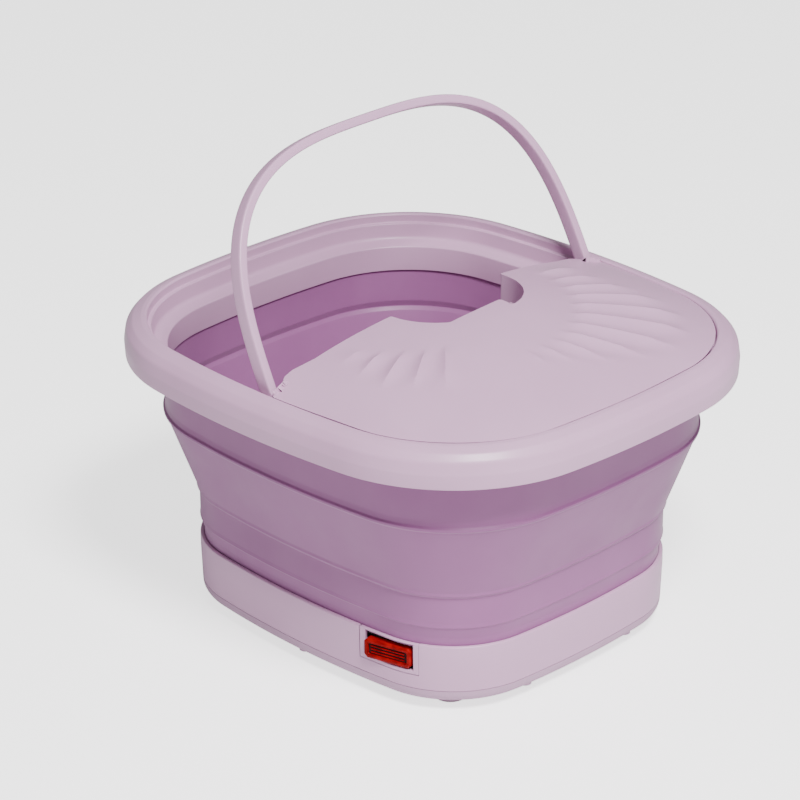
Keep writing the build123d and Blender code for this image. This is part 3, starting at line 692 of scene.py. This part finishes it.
@dataclass(frozen=True)
class SwitchPlace:
    """The switch's frame: x along the wall, depth inwards, z up."""

    x: float = 86.5
    y: float = -131.2
    turn: float = 10.0
    width: float = 50.0
    low: float = 28.0
    high: float = 52.4
    slack: float = 0.2
    reach: float = 45.0
    deep: float = 9.0
    shelf: tuple[float, float, float] = (48.0, 51.8, 6.2)

    def world(self, x: float, depth: float, z: float) -> Vector:
        """A point given in the switch's frame, in millimetres.

        Args:
            x: Along the wall.
            depth: Inwards.
            z: Height.

        Returns:
            The point in metres.
        """
        a = math.radians(self.turn)
        return Vector((self.x + x * math.cos(a) - depth * math.sin(a),
                       self.y + x * math.sin(a) + depth * math.cos(a), z)) * MM

    def local(self, point: Vector) -> tuple[float, float, float]:
        """A point's place in the switch's frame, in millimetres."""
        a = math.radians(self.turn)
        dx, dy = point.x / MM - self.x, point.y / MM - self.y
        return (dx * math.cos(a) + dy * math.sin(a), -dx * math.sin(a) + dy * math.cos(a), point.z / MM)

    def cut_wall(self, mesh: Mesh) -> None:
        """Cuts the bezel's place out of the base wall.

        Args:
            mesh: The wall.
        """
        a = math.radians(self.turn)
        along = Vector((math.cos(a), math.sin(a), 0))
        half, floor = self.width / 2 + self.slack, self.low - self.slack
        cuts = [(self.world(side, 0, 0), along) for side in (-half, half)]
        cuts.append((Vector((0, 0, floor * MM)), Vector((0, 0, 1))))
        for spot, normal in cuts:
            near = self.nearby(mesh)
            geom = near + list({e for f in near for e in f.edges} | {v for f in near for v in f.verts})
            bmesh.ops.bisect_plane(mesh, geom=geom, plane_co=spot, plane_no=normal)
        shelf_low, shelf_high, shelf_depth = self.shelf
        gone = []
        for face in mesh.faces:
            centre = face.calc_center_median()
            x, depth, z = self.local(centre)
            outer = centre.y < 0 and abs(x) < half and z > floor and depth < self.deep
            if outer and not (shelf_low < z < shelf_high and depth > shelf_depth):
                gone.append(face)
        bmesh.ops.delete(mesh, geom=gone, context="FACES")

    def nearby(self, mesh: Mesh) -> list[bmesh.types.BMFace]:
        """The wall's faces on the switch's side and near its place."""
        out = []
        for face in mesh.faces:
            centre = face.calc_center_median()
            if centre.y < 0 and abs(self.local(centre)[0]) < self.reach:
                out.append(face)
        return out


# ---------------------------------------------------------------- bail


@dataclass
class Bail:
    """Arched carrying bail with rounded section and rounded eyes."""

    half: float = 163.4
    reach: float = 167.95
    thick: float = 7.0
    broad: float = 11.6
    power: float = 3.1
    lean: float = 26.7
    pivot: tuple[float, float, float] = (7.0, 0.0, 214.0)
    steps: int = 120
    squareness: float = 0.32
    eye_extra: float = 0.8
    eye_fade: float = 9.0
    eye_rows: int = 8
    samples: int = 4000

    def centre(self, turn: float) -> Vector:
        """Middle of the bail at an angle from the +Y foot."""
        half, reach = self.half - self.thick / 2, self.reach - self.thick / 2
        c, s = math.cos(turn), math.sin(turn)
        share = 2 / self.power
        return Vector((0, half * math.copysign(abs(c) ** share, c), reach * abs(s) ** share))

    def path(self) -> list[tuple[Vector, float]]:
        """Middle points from foot to foot, with the width share at each."""
        fine = [self.centre(math.pi * i / self.samples) for i in range(self.samples + 1)]
        lengths = [0.0]
        for a, b in zip(fine, fine[1:]):
            lengths.append(lengths[-1] + (b - a).length)
        swell = self.eye_extra / (self.broad / 2)
        out = [self.eye(fine[0], k) for k in range(1, self.eye_rows)]
        at = 0
        for k in range(self.steps + 1):
            want = lengths[-1] * k / self.steps
            while lengths[at] < want - 1e-9:
                at += 1
            out.append((fine[at], 1 + swell * (1 - ease(fine[at].z / self.eye_fade))))
        return out + [self.eye(fine[-1], k) for k in range(self.eye_rows - 1, 0, -1)]

    def eye(self, foot: Vector, row: int) -> tuple[Vector, float]:
        """One row of the round eye below a foot, with its width share."""
        half = self.broad / 2
        radius = half + self.eye_extra
        drop = radius * math.cos(row / self.eye_rows * math.pi / 2)
        return foot + Vector((0, 0, -drop)), math.sqrt(radius**2 - drop**2) / half

    def loop(self, count: int = 32) -> list[tuple[float, float]]:
        """The rounded rectangular section: width and thickness of each corner."""
        points = []
        for i in range(count):
            turn = TAU * (i + 0.5) / count
            c, s = math.cos(turn), math.sin(turn)
            points.append((math.copysign(abs(c) ** self.squareness, c) * self.broad / 2,
                           math.copysign(abs(s) ** self.squareness, s) * self.thick / 2))
        return points

    def build(self) -> None:
        """Makes the bail."""
        path, loop = self.path(), self.loop()
        lean = math.radians(self.lean)
        mesh = bmesh.new()
        start = bmesh.ops.create_circle(mesh, cap_ends=False, segments=len(loop), radius=1.0)["verts"]
        start.sort(key=lambda v: math.atan2(v.co.y, v.co.x) % TAU)

        def spot(number: int) -> Callable[[int], Vector]:
            centre, share = path[number]
            before = path[max(0, number - 1)][0]
            after = path[min(len(path) - 1, number + 1)][0]
            run = (after - before).normalized()
            out = run.cross(Vector((1, 0, 0)))

            def place(column: int) -> Vector:
                wide, deep = loop[column]
                flat = centre + Vector((wide * share, 0, 0)) + out * deep
                x = flat.x * math.cos(lean) - flat.z * math.sin(lean)
                z = flat.x * math.sin(lean) + flat.z * math.cos(lean)
                return Vector((x + self.pivot[0], flat.y, z + self.pivot[2])) * MM

            return place

        ring = {vert: i for i, vert in enumerate(start)}
        for vert, column in ring.items():
            vert.co = spot(0)(column)
        first = list(ring)
        for number in range(1, len(path)):
            ring = step_loop(mesh, ring, spot(number))
        for verts in (first, list(ring)):
            held = set(verts)
            edges = {e for v in verts for e in v.link_edges if e.other_vert(v) in held}
            bmesh.ops.contextual_create(mesh, geom=list(edges))
        outward(mesh)
        piece = new_piece("carry_bail", mesh, Finish.SHELL, 60)
        place_piece(piece, "handle", ["handle_bail"])


# ---------------------------------------------------------------- lid


@dataclass(frozen=True)
class PleatFan:
    """A fan of shallow flutes with crisp ridges, radiating from a pole."""

    pole: tuple[float, float]
    first: float
    last: float
    count: int
    start: tuple[float, float]
    end: tuple[float, float, float]
    depth: float
    rise: float = 16.0
    fade: float = 26.0
    mean: float = 0.33
    full_width: float = 13.0
    score_margin: float = 4.0
    score_width: float = 6.0

    def spacing(self) -> float:
        """Angle between two ridges, in degrees."""
        return (self.last - self.first) / (self.count - 1)

    def span(self, share: float) -> tuple[float, float]:
        """Inner and outer radius of the flutes at a share of the way across the fan."""
        low, peak, high = self.end
        inner = self.start[0] + (self.start[1] - self.start[0]) * share
        straight = low + (high - low) * share
        outer = straight + (peak - (low + high) / 2) * math.sin(math.pi * share) ** 2
        return inner, outer

    def height(self, x: float, y: float) -> float:
        """Height of the flutes at one point, in millimetres.

        Args:
            x: Along the lid.
            y: Across the lid.

        Returns:
            The height above the plain surface.
        """
        dx, dy = x - self.pole[0], y - self.pole[1]
        turn = (math.degrees(math.atan2(dy, dx)) - self.first) / self.spacing()
        if not -1 < turn < self.count:
            return 0.0
        radius = math.hypot(dx, dy)
        inner, outer = self.span(max(0.0, min(1.0, turn / (self.count - 1))))
        strength = ease((radius - inner) / self.rise) * ease((outer - radius) / self.fade)
        part = turn % 1.0
        flute = (2 * part - 1) ** 2 - self.mean
        if turn < 0:
            flute = part**2 - self.mean * part
        if turn > self.count - 1:
            flute = (1 - part) ** 2 - self.mean * (1 - part)
        width = math.radians(self.spacing()) * radius
        return self.depth * strength * flute * width / self.full_width

    def score(self, mesh: Mesh) -> None:
        """Cuts an edge along each ridge, so that it stays crisp.

        Args:
            mesh: The flat lid, in millimetres.
        """
        for k in range(self.count):
            turn = math.radians(self.first + k * self.spacing())
            run = Vector((math.cos(turn), math.sin(turn), 0))
            side = Vector((-run.y, run.x, 0))
            pole = Vector((*self.pole, 0))
            inner, outer = self.span(k / (self.count - 1))
            near = []
            for face in mesh.faces:
                spot = face.calc_center_median() - pole
                along, across = spot.dot(run), abs(spot.dot(side))
                along_ok = inner - self.score_margin < along < outer + self.score_margin
                if along_ok and across < self.score_width:
                    near.append(face)
            edges = {e for f in near for e in f.edges}
            verts = {v for f in near for v in f.verts}
            bmesh.ops.bisect_plane(mesh, geom=near + list(edges) + list(verts), dist=0.12,
                                   plane_co=pole, plane_no=side)


@dataclass
class Lid:
    """Crowned half lid with two leg bays and a fan of flutes beside each."""

    edge_z: float = 224.8
    rise: float = 25.2
    power: float = 3.2
    fall: float = 2.2
    start_x: float = 17.0
    half_x: float = 14.0
    out: float = -2.5
    corner: tuple[tuple[float, float], ...] = ((13.5, 160.0), (12.9, 156.2), (10.6, 153.4), (8.0, 151.2),
                                               (5.6, 147.8))
    side: tuple[tuple[float, float], ...] = ((4.9, 140.0), (6.3, 134.0), (9.0, 122.0))
    near_bay: tuple[tuple[float, float], ...] = ((12.0, -51.0), (33.5, -45.5), (50.0, -31.0))
    far_bay: tuple[tuple[float, float], ...] = ((12.0, 59.0), (49.8, 44.0), (59.0, 22.4))
    curl: tuple[tuple[float, float], ...] = ((59.0, 22.4), (53.0, 22.9), (47.0, 22.3))
    collar_z: float = 226.5
    collar_rows: int = 5
    collar_x: tuple[float, float] = (11.0, 75.0)
    collar_spans: tuple[tuple[float, float], ...] = ((-51.5, -31.5), (23.2, 59.5))
    wall: float = 3.0
    samples: int = 1600
    step: float = 0.25
    columns: int = 420
    rows: int = 64
    fans: tuple[PleatFan, ...] = (
        PleatFan((27.0, -20.7), 1.0, 89.5, 11, (82.0, 100.0), (110.0, 182.0, 150.0), 1.9),
        PleatFan((24.4, -10.7), -87.0, -45.0, 5, (84.0, 64.0), (110.0, 126.0, 124.0), 2.0),
    )

    def height(self, x: float, y: float) -> float:
        """Height of the crowned surface, in millimetres."""
        length = OUTLINE.half_length / MM + self.out - self.start_x
        width = OUTLINE.half_width / MM + self.out
        along, across = max(0.0, x - self.start_x) / length, abs(y) / width
        reach = (along**self.power + across**self.power) ** (1 / self.power)
        return self.edge_z + self.rise * (1 - reach**self.fall)

    @staticmethod
    def arc(points: Sequence[tuple[float, float]], count: int = 40) -> list[Vector]:
        """Points of the circle arc through three points."""
        (x1, y1), (x2, y2), (x3, y3) = points
        det = 2 * (x1 * (y2 - y3) + x2 * (y3 - y1) + x3 * (y1 - y2))
        q1, q2, q3 = x1**2 + y1**2, x2**2 + y2**2, x3**2 + y3**2
        cx = (q1 * (y2 - y3) + q2 * (y3 - y1) + q3 * (y1 - y2)) / det
        cy = (q1 * (x3 - x2) + q2 * (x1 - x3) + q3 * (x2 - x1)) / det
        radius = math.hypot(x1 - cx, y1 - cy)
        start = math.atan2(y1 - cy, x1 - cx)
        turn = (math.atan2(y3 - cy, x3 - cx) - start) % TAU
        if (math.atan2(y2 - cy, x2 - cx) - start) % TAU > turn:
            turn -= TAU
        return [Vector((cx + radius * math.cos(start + turn * k / count),
                        cy + radius * math.sin(start + turn * k / count))) for k in range(count + 1)]

    def free_edge(self) -> list[Vector]:
        """The raised free edge, from the near corner to the far one."""
        near = [Vector((x, -y)) for x, y in self.side]
        far = [Vector(p) for p in reversed(self.side)]
        bays = self.arc(self.near_bay) + self.arc(self.curl[::-1]) + self.arc(self.far_bay[::-1])
        return self.soften(near + bays + far, 1.6)

    def fine(self, points: Sequence[Vector]) -> list[Vector]:
        """Splits a line into short steps."""
        out: list[Vector] = []
        for a, b in zip(points, points[1:]):
            parts = max(1, int((b - a).length / self.step))
            out += [a.lerp(b, k / parts) for k in range(parts)]
        return out + [points[-1]]

    def soften(self, points: Sequence[Vector], reach: float) -> list[Vector]:
        """Rounds a line's corners by averaging along it."""
        line = self.fine(points)
        half = int(reach / self.step)
        out = []
        for i in range(len(line)):
            span = min(half, i, len(line) - 1 - i)
            part = line[i - span:i + span + 1]
            out.append(sum(part, Vector((0, 0))) / len(part))
        return out

    def resample(self, points: Sequence[Vector], count: int, lag: float = 0.0) -> list[Vector]:
        """Spreads a count of points along a line.

        Args:
            points: The line.
            count: Number of points.
            lag: Share by which the middle points fall behind.

        Returns:
            The points.
        """
        line = self.fine(points)
        total = [0.0]
        for a, b in zip(line, line[1:]):
            total.append(total[-1] + (b - a).length)
        out, at = [], 0
        for k in range(count):
            share = k / (count - 1)
            want = total[-1] * (share - lag * math.sin(math.pi * share))
            while at < len(total) - 2 and total[at + 1] < want:
                at += 1
            step = total[at + 1] - total[at]
            out.append(line[at].lerp(line[at + 1], (want - total[at]) / step if step else 0.0))
        return out

    def perimeter(self) -> list[Vector]:
        """The seated outline, from the near corner round the end to the far one."""
        points = []
        for i in range(-self.samples // 2, self.samples // 2 + 1):
            spot = OUTLINE.at((i / self.samples) % 1.0, self.out * MM) / MM
            if spot.x > self.half_x:
                points.append(Vector((spot.x, spot.y)))
        near = [Vector((x, -y)) for x, y in reversed(self.corner)]
        far = [Vector(p) for p in self.corner]
        return self.soften(near + points + far, 1.5)

    def build(self) -> None:
        """Makes the lid."""
        inner = self.resample(self.free_edge(), self.columns)
        outer = self.resample(self.perimeter(), self.columns, 0.05)
        mesh = bmesh.new()
        bmesh.ops.create_grid(mesh, x_segments=self.columns - 1, y_segments=self.rows - 1, size=0.5)
        for vert in mesh.verts:
            i = round((vert.co.x + 0.5) * (self.columns - 1))
            j = round((vert.co.y + 0.5) * (self.rows - 1))
            flat = inner[i].lerp(outer[i], j / (self.rows - 1))
            vert.co = Vector((flat.x, flat.y, 0))
        bmesh.ops.remove_doubles(mesh, verts=mesh.verts[:], dist=0.001)
        for fan in self.fans:
            fan.score(mesh)
        for vert in mesh.verts:
            x, y = vert.co.x, vert.co.y
            vert.co.z = self.height(x, y) + sum(fan.height(x, y) for fan in self.fans)
        outward(mesh)
        if sum(f.normal.z for f in mesh.faces) < 0:
            bmesh.ops.reverse_faces(mesh, faces=mesh.faces[:])
        self.collars(mesh)
        bmesh.ops.scale(mesh, vec=(MM, MM, MM), verts=mesh.verts[:])
        piece = new_piece("half_lid", mesh, Finish.SHELL, 40)
        finish_edges(piece, self.wall * MM, 0.8 * MM, 3, 48)
        place_piece(piece, "lid_cover", ["lid"])

    def collars(self, mesh: Mesh) -> None:
        """Turns the edge of each bay down into a collar."""
        found = []
        for edge in mesh.edges:
            if len(edge.link_faces) != 1:
                continue
            for low, high in self.collar_spans:
                if all(low < v.co.y < high and self.free(v.co) for v in edge.verts):
                    found.append(edge)
        for left in range(self.collar_rows, 0, -1):
            made = bmesh.ops.extrude_edge_only(mesh, edges=found)["geom"]
            found = [g for g in made if isinstance(g, bmesh.types.BMEdge)]
            for vert in (g for g in made if isinstance(g, bmesh.types.BMVert)):
                vert.co.z += (self.collar_z - vert.co.z) / left

    def free(self, spot: Vector) -> bool:
        """Whether an edge point lies on the bays and not on the seated outline."""
        low, high = self.collar_x
        return low < spot.x < high


# ---------------------------------------------------------------- switch


@dataclass
class Switch:
    """Bezel, paddle and recess of the switch."""

    place: SwitchPlace = SwitchPlace()
    base: Base = Base()
    search: tuple[float, float] = (-8.0, 12.0)
    halvings: int = 40
    flush: float = 0.05
    grid: tuple[int, int] = (50, 26)
    depth: float = 2.8
    body: tuple[float, float, float] = (38.0, 5.0, 15.4)
    chamfer: float = 2.6
    rim: float = 1.2
    proud: float = 0.9
    shoulder: float = 2.2
    step: float = 0.6
    sunk: float = 1.3
    bar: tuple[float, float, float] = (27.0, 0.9, 0.8)
    bar_lift: float = 0.35
    bar_pitch: float = 2.4
    tilt: float = 5.0
    ahead: float = 4.6
    axle_depth: float = 8.0
    axle_z: float = 39.5
    window: tuple[float, float, float] = (20.5, 31.0, 51.0)

    def wall_point(self, x: float, z: float) -> Vector:
        """A point on the wall's outside, found along the switch's depth.

        Args:
            x: Along the wall, in millimetres.
            z: Height in millimetres.

        Returns:
            The point in metres.
        """
        low, high = self.search
        below = max(0.0, self.base.straight_z - z) / (self.base.straight_z - self.base.seam)
        offset = self.base.out - self.base.draft * below - self.flush
        for _ in range(self.halvings):
            mid = (low + high) / 2
            spot = self.place.world(x, mid, z)
            if self.inside(spot, offset):
                high = mid
            else:
                low = mid
        return self.place.world(x, high, z)

    @staticmethod
    def inside(point: Vector, offset: float) -> bool:
        """Whether a point is within the outline at an offset in millimetres."""
        cx, cy = OUTLINE.corner()
        px, py = abs(point.x), abs(point.y)
        side_y = OUTLINE.half_width - OUTLINE.side_radius
        end_x = OUTLINE.half_length - OUTLINE.end_radius
        ok = math.hypot(px, py - side_y) < OUTLINE.side_radius + offset * MM
        ok = ok and math.hypot(px - end_x, py) < OUTLINE.end_radius + offset * MM
        low = math.atan2(cy, cx - end_x)
        high = math.atan2(cy - side_y, cx)
        turn = math.atan2(py - cy, px - cx)
        if low < turn < high:
            ok = ok and math.hypot(px - cx, py - cy) < OUTLINE.corner_radius + offset * MM
        return ok

    def bezel(self) -> None:
        """Makes the frame round the switch."""
        p = self.place
        columns, rows = self.grid
        mesh = bmesh.new()
        bmesh.ops.create_grid(mesh, x_segments=columns, y_segments=rows, size=0.5)
        half = p.width / 2
        for vert in mesh.verts:
            x = vert.co.x * 2 * half
            z = p.low + (vert.co.y + 0.5) * (p.high - p.low)
            vert.co = Vector((x, z, 0))
        gone = [f for f in mesh.faces if self.in_window(f.calc_center_median())]
        bmesh.ops.delete(mesh, geom=gone, context="FACES")
        for vert in mesh.verts:
            x, z = vert.co.x, vert.co.y
            vert.co = self.wall_point(x, z)
        outward(mesh)
        if sum(f.normal.y for f in mesh.faces) > 0:
            bmesh.ops.reverse_faces(mesh, faces=mesh.faces[:])
        piece = new_piece("switch_surround", mesh, Finish.SHELL, 50)
        finish_edges(piece, self.depth * MM, 0.35 * MM, 2, 50)
        place_piece(piece, "base", ["switch_bezel"])

    def in_window(self, spot: Vector) -> bool:
        """Whether a face of the flat bezel lies in its window."""
        half, low, high = self.window
        return abs(spot.x) < half and low < spot.y < high

    def paddle(self) -> None:
        """Makes the translucent paddle with raised bars and a sunk centre."""
        wide, deep, tall = self.body
        mesh = bmesh.new()
        bmesh.ops.create_cube(mesh, size=1.0)
        for vert in mesh.verts:
            vert.co = Vector((vert.co.x * wide, vert.co.y * deep, vert.co.z * tall))
        upright = [e for e in mesh.edges if abs(e.verts[0].co.y - e.verts[1].co.y) > 1]
        bmesh.ops.bevel(mesh, geom=upright, offset=self.chamfer, segments=1, profile=0.5,
                        affect="EDGES", material=-1)
        mesh.faces.ensure_lookup_table()
        front = min(mesh.faces, key=lambda f: f.calc_center_median().y)
        bmesh.ops.inset_region(mesh, faces=[front], thickness=self.rim, depth=0.0)
        for vert in front.verts:
            vert.co.y -= self.proud
        bmesh.ops.inset_region(mesh, faces=[front], thickness=self.shoulder, depth=0.0)
        bmesh.ops.inset_region(mesh, faces=[front], thickness=self.step, depth=0.0)
        for vert in front.verts:
            vert.co.y += self.sunk
        self.bars(mesh, front)
        # The sunk centre takes the dark red copy of the lens material, painted shade for the recess.
        front.material_index = 1
        turn = math.radians(self.tilt)
        for vert in mesh.verts:
            x, y, z = vert.co
            y -= self.ahead
            across = x * math.cos(turn) - y * math.sin(turn)
            inwards = x * math.sin(turn) + y * math.cos(turn)
            vert.co = self.place.world(across, self.axle_depth + inwards, self.axle_z + z)
        outward(mesh)
        # The second finish is the painted shade of the sunk centre.
        piece = new_piece("switch_paddle", mesh, Finish.RED, 20, [Finish.RED_DEEP])
        finish_edges(piece, 0.0, 0.3 * MM, 2, 25)
        place_piece(piece, "rocker", ["switch_rocker"])

    def bars(self, mesh: Mesh, face: bmesh.types.BMFace) -> None:
        """Raises three slim bars from the paddle's sunk centre.

        Args:
            mesh: The paddle, in millimetres.
            face: The sunk centre.
        """
        level = face.calc_center_median().y
        for height in (-self.bar_pitch, 0.0, self.bar_pitch):
            made = bmesh.ops.create_cube(mesh, size=1.0)["verts"]
            bmesh.ops.scale(mesh, vec=self.bar, verts=made)
            bmesh.ops.translate(mesh, vec=(0, level - self.bar_lift, height), verts=made)

    def build(self) -> None:
        """Makes the switch's visible pieces."""
        self.bezel()
        self.paddle()


# ---------------------------------------------------------------- carried-over nodes


class Carried(Enum):
    """The frame's own nodes that keep their shape, with their finishes."""

    BOTTOM = (Finish.BOTTOM, ("base_plate", "rim_clamp_ring"))
    FEET = (Finish.FOOT, ("feet", "pump_pads"))
    PAN = (Finish.PAN, ("basin_pan", "bubble_strip"))
    ROLLERS = (Finish.ROLLER, ("roller_1", "roller_2", "roller_3", "roller_4"))
    AXLES = (Finish.AXLE, ("roller_axles", "handle_pivots"))
    STEEL = (Finish.STEEL, ("base_screws", "flange_screws", "board_screws", "rim_screws"))
    BLACK = (Finish.DARK, ("switch_body", "power_inlet", "board_components", "temperature_sensor"))
    PUMP = (Finish.PUMP, ("air_pump",))
    TUBE = (Finish.TUBE, ("air_tube",))
    CAST = (Finish.CAST, ("heater_plate",))
    BOARD = (Finish.BOARD, ("control_board",))
    BRASS = (Finish.BRASS, ("switch_terminals", "inlet_pins"))

    def dress(self) -> None:
        """Gives the nodes their finish."""
        finish, names = self.value
        for name in names:
            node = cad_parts[name]
            node.data.materials.clear()
            node.data.materials.append(finish.material)
            LOG.info("%s dressed as %s", name, finish.name)


# ---------------------------------------------------------------- stage


def direction(azimuth: float, elevation: float) -> Vector:
    """The unit direction at an azimuth from -Y and an elevation, both in degrees."""
    az, el = math.radians(azimuth), math.radians(elevation)
    return Vector((math.sin(az) * math.cos(el), -math.cos(az) * math.cos(el), math.sin(el)))


@dataclass
class Stage:
    """Pale floor, soft lights and the camera."""

    azimuth: float = 44.75
    elevation: float = 24.91
    distance: float = 2.541
    focal: float = 3521.4
    centre: tuple[float, float] = (430.4, 400.0)
    aim_z: float = 0.1627
    sensor: float = 36.0
    frame_size: float = 800.0
    lamp_aim_z: float = 0.18

    def camera(self) -> None:
        """Sets the camera at the object's known angle."""
        back = direction(self.azimuth, self.elevation)
        middle = self.frame_size / 2
        data = bpy.data.cameras.new("camera")
        data.sensor_width = self.sensor
        data.lens = self.focal * self.sensor / self.frame_size
        data.shift_x = (middle - self.centre[0]) / self.frame_size
        data.shift_y = (self.centre[1] - middle) / self.frame_size
        data.clip_end = 50.0
        cam = bpy.data.objects.new("camera", data)
        cam.location = Vector((0, 0, self.aim_z)) + back * self.distance
        cam.rotation_euler = back.to_track_quat("Z", "Y").to_euler()
        bpy.context.scene.collection.objects.link(cam)
        bpy.context.scene.camera = cam

    def lamp(self, name: str, power: float, size: float, azimuth: float, elevation: float,
             distance: float) -> None:
        """Adds one soft light aimed at the object.

        Args:
            name: The light's name.
            power: Watts.
            size: Side of the square, in metres.
            azimuth: Direction in degrees, 0 from -Y.
            elevation: Degrees above the horizon.
            distance: Metres from the aim point.
        """
        back = direction(azimuth, elevation)
        data = bpy.data.lights.new(name, "AREA")
        data.energy = power
        data.size = size
        light = bpy.data.objects.new(name, data)
        light.location = Vector((0, 0, self.lamp_aim_z)) + back * distance
        light.rotation_euler = back.to_track_quat("Z", "Y").to_euler()
        bpy.context.scene.collection.objects.link(light)

    def floor(self) -> None:
        """Makes the pale floor."""
        mesh = bmesh.new()
        bmesh.ops.create_grid(mesh, x_segments=1, y_segments=1, size=12.0)
        g = Graph("pale_floor")
        g.link(g.ramp(g.noise(3.0), [(0.3, linear("f4f3f4")), (0.7, linear("f7f6f7"))]),
               g.shader.inputs["Base Color"])
        seen = g.tree.nodes.new("ShaderNodeLightPath").outputs["Is Camera Ray"]
        g.link(g.span(seen, 0.10, 1.9, (0.0, 1.0)), g.shader.inputs["Emission Strength"])
        g.set(Roughness=0.9, Emission_Color=(1.0, 1.0, 1.0, 1.0))
        data = bpy.data.meshes.new("floor")
        mesh.to_mesh(data)
        mesh.free()
        data.materials.append(g.material)
        floor = bpy.data.objects.new("floor", data)
        bpy.context.scene.collection.objects.link(floor)

    def world(self) -> None:
        """Sets the pale surround."""
        world = bpy.data.worlds.new("surround")
        world.use_nodes = True
        shade = world.node_tree.nodes["Background"]
        shade.inputs["Color"].default_value = (1.0, 1.0, 1.0, 1.0)
        shade.inputs["Strength"].default_value = 0.26
        bpy.context.scene.world = world

    def build(self) -> None:
        """Sets up the whole stage."""
        self.floor()
        self.world()
        self.lamp("key", 92.0, 0.6, 66.0, 54.0, 2.4)
        self.lamp("fill", 7.0, 1.6, 70.0, 25.0, 2.8)
        self.camera()


def main() -> None:
    """Builds every piece in order and reports it."""
    logging.basicConfig(level=logging.INFO, format="%(name)s %(message)s")
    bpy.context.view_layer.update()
    Stage().build()
    for part in (Rim(), CollapsibleWall(), Base(), Bail(), Lid(), Switch()):
        part.build()
    for group in Carried:
        group.dress()


if __name__ == "__main__":
    main()
